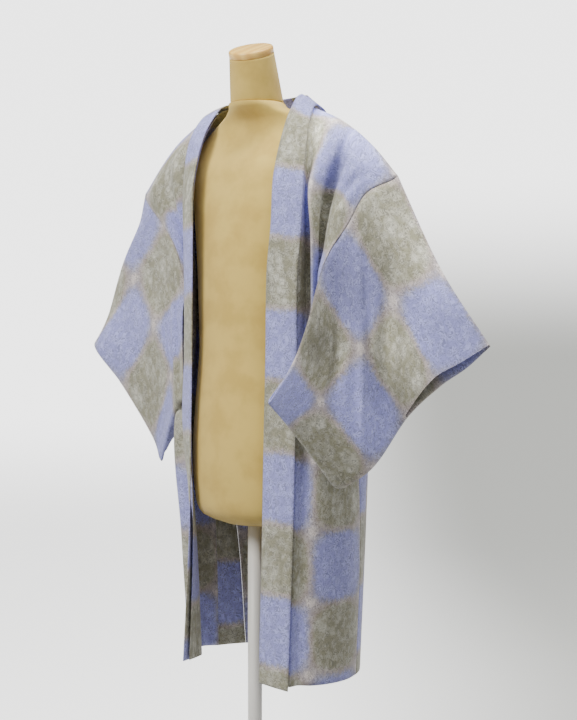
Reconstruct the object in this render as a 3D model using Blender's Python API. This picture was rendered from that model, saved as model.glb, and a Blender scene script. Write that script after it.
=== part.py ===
"""Haori jacket hanging open on a limbless dress form.

Metres, +Z up.  The front of the garment faces -Y and the wearer's left is +X.  The origin is on the
floor, at the centre of the base's underside.

Every piece of cloth is one sheet.  Its table gives points on the inner face of the cloth: a row is a
station along the cloth's length, and a column is a line along the cloth, such as a seam or a fold.
Smooth curves join the points, and the wall grows outwards from that face.
"""
import math
from collections import namedtuple

import bmesh
import bpy
from mathutils import Quaternion, Vector

# ---------------------------------------------------------------- driving dimensions
CLOTH = 0.0016           # body and sleeve wall
BAND = 0.0026            # collar wall: the strip is folded double
SEAM_GAP = 0.0005        # half of the space left between two sewn edges
SEAM_INSET = 0.0045      # how far a gusset or sleeve edge stops short of its seam line
GUSSET_BOW = 0.002       # how far the middle of a gusset stands out
GUSSET_TOP = 0.3         # share of its top row's height that a gusset stops below the underarm
SLEEVE_WIDTH = 0.330     # armhole seam to cuff, along the shoulder fold
SLEEVE_DROP = 0.450      # shoulder fold to bottom seam
ARMHOLE = 0.235          # sewn length of the armhole and open length of the cuff, from the shoulder fold
CORNER_RADIUS = 0.040    # rounded outer corner of the sleeve's bottom

POLE_RADIUS = 0.0125
BASE_RADIUS = 0.165
BASE_HEIGHT = 0.016
BASE_EDGE = 0.003
NECK_RADIUS = 0.047
NECK_FOOT = Vector((0.0, 0.006, 1.3625))
NECK_HEAD = Vector((0.008, -0.019, 1.444))
NECK_AXIS = Vector((0.95, 0.30, 0.0)).normalized()
NECK_TILT = math.radians(24.0)
CAP_RADIUS = 0.0395
CAP_HEIGHT = 0.012
PIECE_GAP = 0.0005

# ---------------------------------------------------------------- body panels
# One length of cloth from the back hem over the shoulder to the front hem.
#   back rows:  centre back seam ... side edge
#   front rows: edge under the collar, collar's free edge, slot behind it, crest, trough, ridge, side edge
# A side edge on the armhole is given by its place on the seam line, as in SeamRow.
PanelRow = namedtuple("PanelRow", "name edge collar slot crest trough ridge side")

PANEL_LEFT = (
    PanelRow("back hem", (.0010, .196, .368), (.025, .198, .368), (.052, .193, .368), (.078, .184, .368),
             (.099, .171, .368), (.116, .153, .368), (.128, .136, .368)),
    PanelRow("back skirt", (.0010, .201, .600), (.027, .203, .600), (.055, .198, .600), (.083, .190, .600),
             (.108, .176, .600), (.129, .154, .600), (.143, .129, .600)),
    PanelRow("back hip", (.0010, .196, .800), (.029, .198, .800), (.059, .193, .800), (.090, .183, .800),
             (.121, .165, .800), (.153, .132, .800), (.190, .068, .800)),
    PanelRow("back waist", (.0010, .185, .920), (.030, .187, .920), (.062, .182, .920), (.096, .171, .920),
             (.131, .150, .920), (.167, .110, .920), (.201, .020, .920)),
    PanelRow("back underarm", (.0010, .172, 1.040), (.032, .173, 1.040), (.067, .169, 1.040),
             (.104, .158, 1.039), (.141, .136, 1.038), (.176, .095, 1.036), -.230),
    PanelRow("back armhole", (.0010, .160, 1.135), (.036, .161, 1.135), (.074, .157, 1.134),
             (.113, .148, 1.132), (.152, .130, 1.130), (.191, .097, 1.127), -.120),
    PanelRow("back blade", (.0010, .142, 1.225), (.040, .142, 1.224), (.081, .138, 1.221),
             (.124, .128, 1.214), (.167, .112, 1.202), (.210, .086, 1.187), -.060),
    PanelRow("back yoke", (.0010, .117, 1.312), (.045, .116, 1.308), (.090, .108, 1.300),
             (.136, .096, 1.284), (.180, .082, 1.262), (.224, .065, 1.233), -.030),
    PanelRow("back neck", (.0010, .101, 1.347), (.052, .098, 1.350), (.098, .082, 1.340),
             (.142, .069, 1.319), (.184, .059, 1.292), (.229, .046, 1.253), -.012),
    PanelRow("neck side", (.078, .066, 1.352), (.104, .061, 1.345), (.130, .056, 1.335),
             (.158, .051, 1.320), (.192, .046, 1.295), (.234, .037, 1.257), -.004),
    PanelRow("shoulder", (.086, .041, 1.357), (.108, .041, 1.345), (.131, .040, 1.336),
             (.160, .038, 1.322), (.194, .036, 1.301), (.237, .031, 1.266), .000),
    PanelRow("front neck", (.092, .014, 1.345), (.118, .010, 1.329), (.142, .009, 1.321),
             (.166, .008, 1.307), (.197, .005, 1.284), (.238, .003, 1.249), .012),
    PanelRow("front yoke", (.101, -.026, 1.304), (.142, -.034, 1.289), (.158, -.030, 1.279),
             (.175, -.034, 1.271), (.203, -.022, 1.248), (.233, -.027, 1.216), .060),
    PanelRow("front chest", (.113, -.064, 1.222), (.155, -.067, 1.214), (.152, -.052, 1.206),
             (.178, -.074, 1.200), (.193, -.037, 1.184), (.214, -.046, 1.168), .120),
    PanelRow("front armhole", (.112, -.075, 1.140), (.158, -.074, 1.134), (.147, -.048, 1.128),
             (.182, -.075, 1.120), (.184, -.045, 1.112), (.198, -.058, 1.102), .180),
    PanelRow("front underarm", (.104, -.077, 1.060), (.151, -.075, 1.052), (.146, -.043, 1.046),
             (.176, -.067, 1.040), (.177, -.040, 1.036), (.188, -.066, 1.036), .226),
    PanelRow("front waist", (.100, -.075, .920), (.148, -.073, .920), (.150, -.051, .920),
             (.172, -.056, .920), (.180, -.034, .920), (.192, -.028, .920), (.199, -.016, .920)),
    PanelRow("front hip", (.095, -.073, .800), (.145, -.071, .800), (.151, -.053, .800),
             (.172, -.047, .800), (.182, -.023, .800), (.190, .006, .800), (.191, .034, .800)),
    PanelRow("front skirt", (.085, -.068, .600), (.138, -.069, .600), (.145, -.057, .600),
             (.164, -.044, .600), (.178, -.010, .600), (.179, .036, .600), (.166, .083, .600)),
    PanelRow("front hem", (.074, -.062, .370), (.127, -.067, .366), (.137, -.055, .368),
             (.156, -.042, .368), (.170, -.009, .368), (.171, .036, .368), (.157, .083, .368)),
)

PANEL_RIGHT = (
    PanelRow("back hem", (-.0010, .196, .378), (-.025, .198, .379), (-.052, .193, .380), (-.078, .184, .381),
             (-.099, .171, .382), (-.117, .153, .383), (-.131, .134, .384)),
    PanelRow("back skirt", (-.0010, .201, .600), (-.027, .203, .600), (-.055, .198, .600),
             (-.083, .190, .600), (-.108, .176, .600), (-.130, .153, .600), (-.146, .126, .600)),
    PanelRow("back hip", (-.0010, .196, .800), (-.029, .198, .800), (-.059, .193, .800),
             (-.090, .183, .800), (-.121, .166, .800), (-.150, .139, .800), (-.174, .099, .800)),
    PanelRow("back waist", (-.0010, .185, .920), (-.030, .187, .920), (-.062, .182, .920),
             (-.096, .171, .920), (-.129, .152, .920), (-.160, .120, .920), (-.182, .070, .920)),
    PanelRow("back underarm", (-.0010, .172, 1.040), (-.032, .173, 1.040), (-.067, .169, 1.040),
             (-.104, .158, 1.040), (-.139, .137, 1.040), (-.170, .103, 1.040), -.230),
    PanelRow("back armhole", (-.0010, .160, 1.135), (-.036, .161, 1.135), (-.074, .157, 1.135),
             (-.113, .148, 1.136), (-.151, .131, 1.137), (-.186, .102, 1.138), -.120),
    PanelRow("back blade", (-.0010, .142, 1.225), (-.040, .142, 1.224), (-.081, .138, 1.222),
             (-.124, .128, 1.216), (-.167, .112, 1.206), (-.209, .088, 1.193), -.060),
    PanelRow("back yoke", (-.0010, .117, 1.312), (-.045, .116, 1.309), (-.090, .108, 1.302),
             (-.136, .096, 1.289), (-.180, .082, 1.270), (-.225, .065, 1.243), -.030),
    PanelRow("back neck", (-.0010, .101, 1.347), (-.052, .098, 1.350), (-.098, .082, 1.342),
             (-.142, .069, 1.325), (-.184, .059, 1.303), (-.230, .046, 1.266), -.012),
    PanelRow("neck side", (-.088, .066, 1.364), (-.110, .062, 1.358), (-.134, .056, 1.348),
             (-.160, .051, 1.334), (-.192, .046, 1.311), (-.235, .037, 1.271), -.004),
    PanelRow("shoulder", (-.098, .041, 1.365), (-.118, .041, 1.358), (-.139, .040, 1.351),
             (-.163, .038, 1.340), (-.194, .036, 1.320), (-.238, .031, 1.280), .000),
    PanelRow("front neck", (-.099, .014, 1.350), (-.121, .014, 1.346), (-.143, .013, 1.336),
             (-.168, .012, 1.322), (-.199, .011, 1.300), (-.239, .012, 1.261), .012),
    PanelRow("front yoke", (-.096, -.026, 1.302), (-.125, -.017, 1.296), (-.146, -.008, 1.288),
             (-.174, -.013, 1.274), (-.201, -.006, 1.255), (-.233, -.008, 1.226), .060),
    PanelRow("front chest", (-.090, -.058, 1.222), (-.126, -.033, 1.218), (-.139, -.010, 1.212),
             (-.166, -.021, 1.202), (-.181, -.002, 1.194), (-.203, -.008, 1.184), .120),
    PanelRow("front armhole", (-.085, -.068, 1.140), (-.123, -.037, 1.137), (-.137, -.006, 1.133),
             (-.150, -.011, 1.130), (-.158, .002, 1.126), (-.166, -.009, 1.122), .180),
    PanelRow("front underarm", (-.083, -.071, 1.060), (-.120, -.038, 1.055), (-.139, .003, 1.050),
             (-.146, -.002, 1.046), (-.149, .014, 1.044), (-.150, -.004, 1.044), .226),
    PanelRow("front waist", (-.084, -.071, .920), (-.121, -.036, .920), (-.132, -.009, .920),
             (-.145, .004, .920), (-.156, .016, .920), (-.165, .026, .920), (-.174, .040, .920)),
    PanelRow("front hip", (-.086, -.071, .801), (-.123, -.038, .801), (-.141, -.016, .800),
             (-.184, -.005, .800), (-.191, .019, .799), (-.180, .045, .800), (-.171, .067, .800)),
    PanelRow("front skirt", (-.084, -.068, .599), (-.111, -.028, .599), (-.131, -.011, .600),
             (-.164, -.009, .599), (-.174, .019, .600), (-.167, .050, .600), (-.160, .082, .599)),
    PanelRow("front hem", (-.089, -.072, .387), (-.102, -.025, .388), (-.123, -.007, .386),
             (-.155, .001, .385), (-.164, .024, .386), (-.159, .050, .387), (-.151, .079, .385)),
)

# ---------------------------------------------------------------- sleeves
# Inner edge of the sleeve by its distance from the shoulder fold: below zero at the back, above zero at the
# front.  As far as ARMHOLE each way it is the seam line that the body and the sleeve share; beyond, it
# hangs free down to the sleeve's bottom corner.
SeamRow = namedtuple("SeamRow", "drop point")

SEAM_LEFT = (
    SeamRow(-.450, (.2115, -.2290, .847)), SeamRow(-.359, (.197, -.130, .914)),
    SeamRow(-.295, (.207, -.066, .972)), SeamRow(-.235, (.205, .000, 1.034)),
    SeamRow(-.120, (.232, .040, 1.132)), SeamRow(-.060, (.262, .048, 1.182)),
    SeamRow(-.012, (.281, .031, 1.2125)), SeamRow(.000, (.2835, .026, 1.2180)),
    SeamRow(.012, (.2795, .019, 1.2120)), SeamRow(.060, (.2505, -.0175, 1.188)),
    SeamRow(.120, (.230, -.040, 1.136)), SeamRow(.180, (.210, -.063, 1.091)),
    SeamRow(.235, (.1945, -.076, 1.040)), SeamRow(.295, (.205, -.117, .975)),
    SeamRow(.359, (.213, -.165, .911)), SeamRow(.450, (.216, -.231, .846)),
)
SEAM_RIGHT = (
    SeamRow(-.450, (-.141, -.026, .845)), SeamRow(-.359, (-.166, -.003, .940)),
    SeamRow(-.295, (-.193, .028, .995)), SeamRow(-.235, (-.189, .043, 1.040)),
    SeamRow(-.120, (-.224, .056, 1.146)), SeamRow(-.060, (-.258, .056, 1.190)),
    SeamRow(-.012, (-.2805, .031, 1.2205)), SeamRow(.000, (-.2835, .026, 1.2260)),
    SeamRow(.012, (-.2805, .020, 1.2185)), SeamRow(.060, (-.254, .006, 1.196)),
    SeamRow(.120, (-.215, -.001, 1.159)), SeamRow(.180, (-.173, -.015, 1.116)),
    SeamRow(.235, (-.150, -.016, 1.050)), SeamRow(.295, (-.145, -.027, .996)),
    SeamRow(.359, (-.142, -.031, .935)), SeamRow(.450, (-.136, -.033, .845)),
)

# Front and back layers of a sleeve, each on its middle line and its cuff line.
SleeveRow = namedtuple("SleeveRow", "drop middle cuff back_middle back_cuff")

SLEEVE_LEFT = (
    SleeveRow(.000, (.360, .040, 1.060), (.444, .051, .937), (.356, .045, 1.060), (.443, .057, .935)),
    SleeveRow(.060, (.330, .013, 1.036), (.400, .037, .909), (.304, .043, 1.036), (.394, .065, .900)),
    SleeveRow(.118, (.301, -.014, 1.011), (.358, .023, .884), (.264, .028, 1.011), (.350, .060, .872)),
    SleeveRow(.235, (.268, -.057, .933), (.305, .019, .824), (.227, -.010, .933), (.302, .032, .820)),
    SleeveRow(.359, (.224, -.110, .847), (.247, .002, .737), (.195, -.077, .847), (.245, .011, .734)),
    SleeveRow(.450, (.190, -.149, .807), (.200, -.030, .695), (.185, -.143, .807), (.198, -.023, .693)),
)
SLEEVE_RIGHT = (
    SleeveRow(.000, (-.379, .097, 1.108), (-.458, .150, .988), (-.380, .101, 1.104), (-.458, .154, .984)),
    SleeveRow(.070, (-.369, .054, 1.100), (-.462, .096, .962), (-.384, .122, 1.044), (-.457, .160, .920)),
    SleeveRow(.140, (-.310, .037, 1.053), (-.438, .045, .938), (-.354, .124, .985), (-.430, .125, .868)),
    SleeveRow(.235, (-.246, .011, .980), (-.370, .047, .869), (-.292, .112, .898), (-.369, .058, .860)),
    SleeveRow(.359, (-.196, -.001, .884), (-.288, .048, .768), (-.225, .070, .822), (-.287, .054, .763)),
    SleeveRow(.450, (-.183, -.009, .818), (-.262, .042, .720), (-.186, .000, .813), (-.262, .046, .717)),
)

# ---------------------------------------------------------------- collar
# Inner line is the fold at the neck opening; outer line is the free edge over the body.
CollarRow = namedtuple("CollarRow", "name inner outer")

COLLAR_LEFT = (
    CollarRow("centre back", (.000, .103, 1.385), (.000, .135, 1.347)),
    CollarRow("back neck", (.042, .092, 1.384), (.060, .122, 1.350)),
    CollarRow("neck corner", (.063, .066, 1.375), (.090, .082, 1.352)),
    CollarRow("shoulder", (.071, .040, 1.376), (.103, .042, 1.355)),
    CollarRow("front neck", (.080, .012, 1.362), (.124, .003, 1.338)),
    CollarRow("yoke", (.091, -.031, 1.311), (.149, -.042, 1.296)),
    CollarRow("chest", (.101, -.073, 1.225), (.1655, -.0755, 1.215)),
    CollarRow("armhole", (.103, -.083, 1.140), (.166, -.0825, 1.134)),
    CollarRow("underarm", (.095, -.084, 1.060), (.158, -.083, 1.052)),
    CollarRow("waist", (.091, -.082, .920), (.1555, -.081, .918)),
    CollarRow("hip", (.086, -.080, .800), (.1515, -.079, .797)),
    CollarRow("skirt", (.077, -.0745, .600), (.143, -.076, .597)),
    CollarRow("hem", (.065, -.068, .366), (.131, -.0735, .360)),
)
COLLAR_RIGHT = (
    CollarRow("centre back", (.000, .103, 1.385), (.000, .135, 1.347)),
    CollarRow("back neck", (-.044, .096, 1.382), (-.058, .124, 1.350)),
    CollarRow("neck corner", (-.075, .072, 1.372), (-.106, .084, 1.365)),
    CollarRow("shoulder", (-.088, .041, 1.373), (-.120, .043, 1.3655)),
    CollarRow("front neck", (-.090, .011, 1.361), (-.126, .010, 1.3535)),
    CollarRow("yoke", (-.088, -.034, 1.308), (-.131, -.0245, 1.301)),
    CollarRow("chest", (-.082, -.069, 1.224), (-.130, -.041, 1.218)),
    CollarRow("armhole", (-.076, -.0785, 1.140), (-.1265, -.0445, 1.137)),
    CollarRow("underarm", (-.074, -.081, 1.060), (-.1235, -.0455, 1.055)),
    CollarRow("waist", (-.075, -.081, .920), (-.125, -.044, .919)),
    CollarRow("hip", (-.077, -.081, .800), (-.127, -.0455, .799)),
    CollarRow("skirt", (-.081, -.081, .601), (-.117, -.028, .599)),
    CollarRow("hem", (-.090, -.086, .387), (-.108, -.023, .385)),
)

# ---------------------------------------------------------------- dress form
FormRow = namedtuple("FormRow", "z half_width half_depth centre_y")

FORM = (
    FormRow(.625, .060, .045, .014), FormRow(.640, .112, .082, .016), FormRow(.680, .130, .097, .018),
    FormRow(.760, .134, .101, .018), FormRow(.850, .128, .097, .018), FormRow(.930, .120, .090, .016),
    FormRow(1.020, .125, .090, .018), FormRow(1.110, .135, .092, .024), FormRow(1.190, .150, .088, .030),
    FormRow(1.250, .162, .076, .034), FormRow(1.290, .158, .058, .038), FormRow(1.315, .136, .046, .036),
    FormRow(1.335, .100, .042, .028), FormRow(1.350, .060, .046, .012), FormRow(1.362, .0495, .0495, .005),
)


def channel(values, stations, at):
    """Smooth curve through values at the given stations, read at one station."""
    last = len(stations) - 1
    index = 0
    while index < last - 1 and at > stations[index + 1]:
        index += 1
    span = stations[index + 1] - stations[index]
    t = (at - stations[index]) / span

    def slope(k):
        low, high = max(k - 1, 0), min(k + 1, last)
        return (values[high] - values[low]) / (stations[high] - stations[low])

    start, end = values[index], values[index + 1]
    t2, t3 = t * t, t * t * t
    return ((2 * t3 - 3 * t2 + 1) * start + (t3 - 2 * t2 + t) * slope(index) * span
            + (3 * t2 - 2 * t3) * end + (t3 - t2) * slope(index + 1) * span)


def curve(points, stations, at):
    """Smooth 3-D curve through points at the given stations, read at one station."""
    return Vector([channel([point[axis] for point in points], stations, at) for axis in range(3)])


def spread(points):
    """Distance along a chain of points, for use as its stations."""
    stations = [0.0]
    for before, after in zip(points, points[1:]):
        stations.append(stations[-1] + max((Vector(after) - Vector(before)).length, 1e-4))
    return stations


def surface(chains, across):
    """Grid of points: each chain of points is joined by a smooth curve and read at the fractions."""
    grid = []
    for chain in chains:
        stations = spread(chain)
        grid.append([curve(chain, stations, fraction * stations[-1]) for fraction in across])
    return grid


def even(count):
    return [index / (count - 1) for index in range(count)]


def material(name, colour, roughness, sheen=0.0):
    made = bpy.data.materials.new(name)
    made.use_nodes = True
    shader = made.node_tree.nodes["Principled BSDF"]
    shader.inputs["Base Color"].default_value = (*colour, 1.0)
    shader.inputs["Roughness"].default_value = roughness
    shader.inputs["Metallic"].default_value = 0.0
    shader.inputs["Sheen Weight"].default_value = sheen
    return made


def place(bm, name, made):
    """Turn a bmesh into a named, smooth-shaded object with one material."""
    mesh = bpy.data.meshes.new(name)
    bm.to_mesh(mesh)
    bm.free()
    mesh.materials.append(made)
    mesh.shade_smooth()
    mesh.set_sharp_from_angle(angle=math.radians(40))
    piece = bpy.data.objects.new(name, mesh)
    bpy.context.scene.collection.objects.link(piece)
    return piece


def grid_mesh(points, flip):
    """Sheet of quads through a grid of points; flip turns its face over."""
    bm = bmesh.new()
    rows, columns = len(points), len(points[0])
    bmesh.ops.create_grid(bm, x_segments=columns - 1, y_segments=rows - 1, size=1.0)
    for vert in bm.verts:
        column = round((vert.co.x + 1.0) / 2.0 * (columns - 1))
        row = round((vert.co.y + 1.0) / 2.0 * (rows - 1))
        vert.co = points[row][column]
    if flip:
        bmesh.ops.reverse_faces(bm, faces=bm.faces)
    return bm


def sheet(name, points, flip, thickness, made):
    """Cloth piece: a sheet whose wall grows outwards from its inner face."""
    piece = place(grid_mesh(points, flip), name, made)
    wall = piece.modifiers.new("Wall", "SOLIDIFY")
    wall.thickness = thickness
    wall.offset = 1.0
    return piece


# ---------------------------------------------------------------- body
def seam_point(seam, drop):
    """Point on the sleeve's inner edge; below zero is the back."""
    return curve([row.point for row in seam], [row.drop for row in seam], drop)


def divide(stations, parts):
    """The stations, with each span between two of them divided into equal parts."""
    divided = [low + (high - low) * part / parts
               for low, high in zip(stations, stations[1:]) for part in range(parts)]
    return divided + [stations[-1]]


def side_edge(table, seam, parts):
    """Side edge of a panel from back hem to front hem: plain points, or places on the armhole seam."""
    placed = [seam_point(seam, row.side) if isinstance(row.side, float) else Vector(row.side) for row in table]
    stations = spread([row.crest for row in table])
    edge = []
    for index, (row, after) in enumerate(zip(table, table[1:])):
        for part in range(parts):
            fraction = part / parts
            if isinstance(row.side, float) and isinstance(after.side, float):
                edge.append(seam_point(seam, row.side + (after.side - row.side) * fraction))
            else:
                station = stations[index] + (stations[index + 1] - stations[index]) * fraction
                edge.append(curve(placed, stations, station))
    return edge + [placed[-1]]


def build_body(side, table, seam, sign, made, parts=2, columns=13):
    """One length of cloth over the shoulder, from the back hem to the front hem."""
    lines = [[getattr(row, field) for row in table] for field in PanelRow._fields[1:-1]]
    stations = spread([row.crest for row in table])
    along = divide(stations, parts)
    chains = [[curve(line, stations, station) for line in lines] + [end]
              for station, end in zip(along, side_edge(table, seam, parts))]
    for chain in chains:
        chain[0].x = sign * max(sign * chain[0].x, SEAM_GAP)
    return sheet(f"body_{side}", surface(chains, even(columns)), sign < 0, CLOTH, made)


def build_gusset(side, table, seam, sign, made, parts=2, columns=4):
    """Narrow strip between the front and back side edges, from the hem to the underarm."""
    names = [row.name for row in table]
    edge = side_edge(table, seam, parts)
    back = edge[:names.index("back underarm") * parts + 1]
    front = edge[names.index("front underarm") * parts:][::-1]
    front[-1] = front[-1].lerp(front[-2], GUSSET_TOP)
    back[-1] = back[-1].lerp(back[-2], GUSSET_TOP)
    outward = Vector((sign * 0.8, 0.6, 0.0))
    points = []
    for start, end in zip(front, back):
        inset = (end - start).normalized() * SEAM_INSET
        points.append([(start + inset).lerp(end - inset, step) + outward * GUSSET_BOW * math.sin(math.pi * step)
                       for step in even(columns)])
    return sheet(f"gusset_{side}", points, sign < 0, CLOTH, made)


# ---------------------------------------------------------------- sleeves
def sleeve_chain(table, seam, drop, back):
    """Points across one layer of the sleeve at a drop: inner edge, middle line and cuff line."""
    stations = [row.drop for row in table]
    fields = ("back_middle", "back_cuff") if back else ("middle", "cuff")
    chain = [curve([getattr(row, field) for row in table], stations, drop) for field in fields]
    return [seam_point(seam, -drop if back else drop), *chain]


def corner_drop(fraction):
    """Lowest drop of the sleeve at a fraction of its width, with the rounded outer corner."""
    past = fraction * SLEEVE_WIDTH - (SLEEVE_WIDTH - CORNER_RADIUS)
    if past <= 0:
        return SLEEVE_DROP
    return SLEEVE_DROP - CORNER_RADIUS + math.sqrt(max(CORNER_RADIUS ** 2 - past ** 2, 0.0))


def sleeve_drops(table_drops, lowest):
    """Stations down a sleeve line: those of the armhole seam, then even steps to the bottom."""
    free = [ARMHOLE + (lowest - ARMHOLE) * step for step in even(6)]
    return table_drops[:-1] + free


def build_sleeve(side, table, seam, sign, made):
    """A folded length of cloth, closed along its bottom and along its outer edge below the cuff."""
    across = [SEAM_INSET / SLEEVE_WIDTH] + [0.1 * k for k in range(1, 9)] + [0.92, 0.98, 1.0]
    seam_drops = divide([row.drop for row in seam if 0 <= row.drop <= ARMHOLE], 2)
    strips = []
    for fraction in across:
        layers = []
        for back in (False, True):
            line = []
            for drop in sleeve_drops(seam_drops, corner_drop(fraction)):
                chain = sleeve_chain(table, seam, drop, back)
                widths = spread(chain)
                line.append(curve(chain, widths, fraction * widths[-1]))
            layers.append(line)
        strips.append(layers)
    bm = bmesh.new()
    steps = len(strips[0][0])
    loops = [[bm.verts.new(point) for point in front_line[::-1] + back_line[1:]]
             for front_line, back_line in strips]
    for left, right in zip(loops, loops[1:]):
        for k in range(len(left) - 1):
            bm.faces.new((left[k], left[k + 1], right[k + 1], right[k]))
        bm.faces.new((left[-1], left[0], right[0], right[-1]))
    closed_from = len(seam_drops) - 1
    last = loops[-1]
    front_edge = last[:steps][::-1]
    back_edge = last[steps - 1:]
    for k in range(closed_from, steps - 1):
        bm.faces.new((front_edge[k + 1], front_edge[k], back_edge[k], back_edge[k + 1]))
    if sign < 0:
        bmesh.ops.reverse_faces(bm, faces=bm.faces)
    piece = place(bm, f"sleeve_{side}", made)
    wall = piece.modifiers.new("Wall", "SOLIDIFY")
    wall.thickness = CLOTH
    wall.offset = 1.0
    return piece


# ---------------------------------------------------------------- collar
def build_collar(side, table, sign, made, rows=34, columns=4):
    """Half of the doubled collar strip, from the centre back round the neck to the hem."""
    lines = [[row.inner for row in table], [row.outer for row in table]]
    stations = spread([row.inner for row in table])
    margin = SEAM_GAP
    along = [margin + fraction * (stations[-1] - margin) for fraction in even(rows)]
    points = []
    for station in along:
        inner = curve(lines[0], stations, station)
        outer = curve(lines[1], stations, station)
        points.append([inner.lerp(outer, step) for step in even(columns)])
    return sheet(f"collar_{side}", points, sign > 0, BAND, made)


# ---------------------------------------------------------------- dress form
def build_torso(made, segments=28, levels=24):
    """Closed padded torso lofted through level ellipses."""
    stations = [row.z for row in FORM]
    bm = bmesh.new()
    rings = []
    for fraction in even(levels):
        z = stations[0] + fraction * (stations[-1] - stations[0])
        half_width = channel([row.half_width for row in FORM], stations, z)
        half_depth = channel([row.half_depth for row in FORM], stations, z)
        centre_y = channel([row.centre_y for row in FORM], stations, z)
        ring = []
        for step in range(segments):
            angle = 2 * math.pi * step / segments
            ring.append(bm.verts.new((half_width * math.cos(angle), centre_y + half_depth * math.sin(angle), z)))
        rings.append(ring)
    for low, high in zip(rings, rings[1:]):
        for step in range(segments):
            after = (step + 1) % segments
            bm.faces.new((low[step], low[after], high[after], high[step]))
    bm.faces.new(rings[0][::-1])
    bm.faces.new(rings[-1])
    return place(bm, "form_torso", made)


def build_turned(name, radius, height, made, segments, edge=0.0):
    """Upright round solid that stands on its own origin."""
    bm = bmesh.new()
    bmesh.ops.create_cone(bm, cap_ends=True, segments=segments, radius1=radius, radius2=radius, depth=height)
    bmesh.ops.translate(bm, verts=bm.verts, vec=(0.0, 0.0, height / 2))
    piece = place(bm, name, made)
    if edge:
        bevel = piece.modifiers.new("Edge", "BEVEL")
        bevel.width = edge
        bevel.segments = 2
        bevel.limit_method = "ANGLE"
    return piece


def build_neck(made, segments=28, levels=6):
    """Neck that leans forwards from a level foot to a tilted top."""
    bm = bmesh.new()
    rings = []
    for step in even(levels):
        centre = NECK_FOOT.lerp(NECK_HEAD, step)
        radius = NECK_RADIUS + (CAP_RADIUS - NECK_RADIUS) * step
        turn = Quaternion(NECK_AXIS, NECK_TILT * step)
        ring = []
        for index in range(segments):
            angle = 2 * math.pi * index / segments
            spoke = Vector((math.cos(angle), math.sin(angle), 0.0)) * radius
            ring.append(bm.verts.new(centre + turn @ spoke))
        rings.append(ring)
    for low, high in zip(rings, rings[1:]):
        for index in range(segments):
            after = (index + 1) % segments
            bm.faces.new((low[index], low[after], high[after], high[index]))
    bm.faces.new(rings[0][::-1])
    bm.faces.new(rings[-1])
    return place(bm, "form_neck", made)


def build_stand(jersey, wood, metal):
    build_torso(jersey)
    build_neck(jersey)
    turn = Quaternion(NECK_AXIS, NECK_TILT)
    cap = build_turned("form_cap", CAP_RADIUS, CAP_HEIGHT, wood, segments=40, edge=0.0015)
    cap.location = NECK_HEAD + turn @ Vector((0.0, 0.0, PIECE_GAP))
    cap.rotation_euler = turn.to_euler()
    pole = build_turned("stand_pole", POLE_RADIUS, FORM[0].z - BASE_HEIGHT - 2 * PIECE_GAP, metal, segments=24)
    pole.location.z = BASE_HEIGHT + PIECE_GAP
    build_turned("stand_base", BASE_RADIUS, BASE_HEIGHT, metal, segments=48, edge=BASE_EDGE)


def main():
    for item in list(bpy.data.objects):
        bpy.data.objects.remove(item, do_unlink=True)
    cloth = material("checked_silk", (0.42, 0.43, 0.52), 0.75, sheen=0.3)
    band = material("collar_silk", (0.40, 0.42, 0.55), 0.7, sheen=0.3)
    jersey = material("beige_jersey", (0.62, 0.53, 0.30), 0.9)
    wood = material("plain_beech", (0.70, 0.49, 0.26), 0.45)
    metal = material("painted_steel", (0.75, 0.74, 0.72), 0.4)
    sides = (("left", 1, PANEL_LEFT, SEAM_LEFT, COLLAR_LEFT, SLEEVE_LEFT),
             ("right", -1, PANEL_RIGHT, SEAM_RIGHT, COLLAR_RIGHT, SLEEVE_RIGHT))
    for side, sign, panel, seam, collar, sleeve in sides:
        build_body(side, panel, seam, sign, cloth)
        build_gusset(side, panel, seam, sign, cloth)
        build_collar(side, collar, sign, band)
        build_sleeve(side, sleeve, seam, sign, cloth)
    build_stand(jersey, wood, metal)


main()
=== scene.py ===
"""Haori jacket of checked silk, hanging open on a limbless dress form.

Metres, +Z up.  The front of the garment faces -Y and the wearer's left is +X.  Each piece of cloth is a
fine sheet on the same lines as its solid in the frame, with its folds and its own cloth map: the map's
two numbers are metres across and along the woven cloth.
"""
import logging
import math
from dataclasses import dataclass
from enum import Enum
from typing import Callable, NamedTuple, Optional, Sequence

import bmesh
import bpy
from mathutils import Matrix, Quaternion, Vector


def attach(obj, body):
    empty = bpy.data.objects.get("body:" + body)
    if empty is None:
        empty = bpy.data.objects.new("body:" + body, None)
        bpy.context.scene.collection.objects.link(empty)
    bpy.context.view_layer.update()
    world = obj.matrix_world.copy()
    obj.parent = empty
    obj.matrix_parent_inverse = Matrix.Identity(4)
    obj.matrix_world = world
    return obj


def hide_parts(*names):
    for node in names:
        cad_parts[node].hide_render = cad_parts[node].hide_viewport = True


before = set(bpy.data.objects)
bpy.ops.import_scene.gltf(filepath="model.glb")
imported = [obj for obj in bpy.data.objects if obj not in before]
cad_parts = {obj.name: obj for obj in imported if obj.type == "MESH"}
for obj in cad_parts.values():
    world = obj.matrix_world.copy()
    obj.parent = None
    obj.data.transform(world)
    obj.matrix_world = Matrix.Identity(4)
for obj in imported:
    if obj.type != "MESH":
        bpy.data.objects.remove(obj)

LOG = logging.getLogger("haori")
Point = Sequence[float]          # x, y and z
Place = tuple[float, float]      # metres across and along a piece's cloth map, or any other pair

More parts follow.
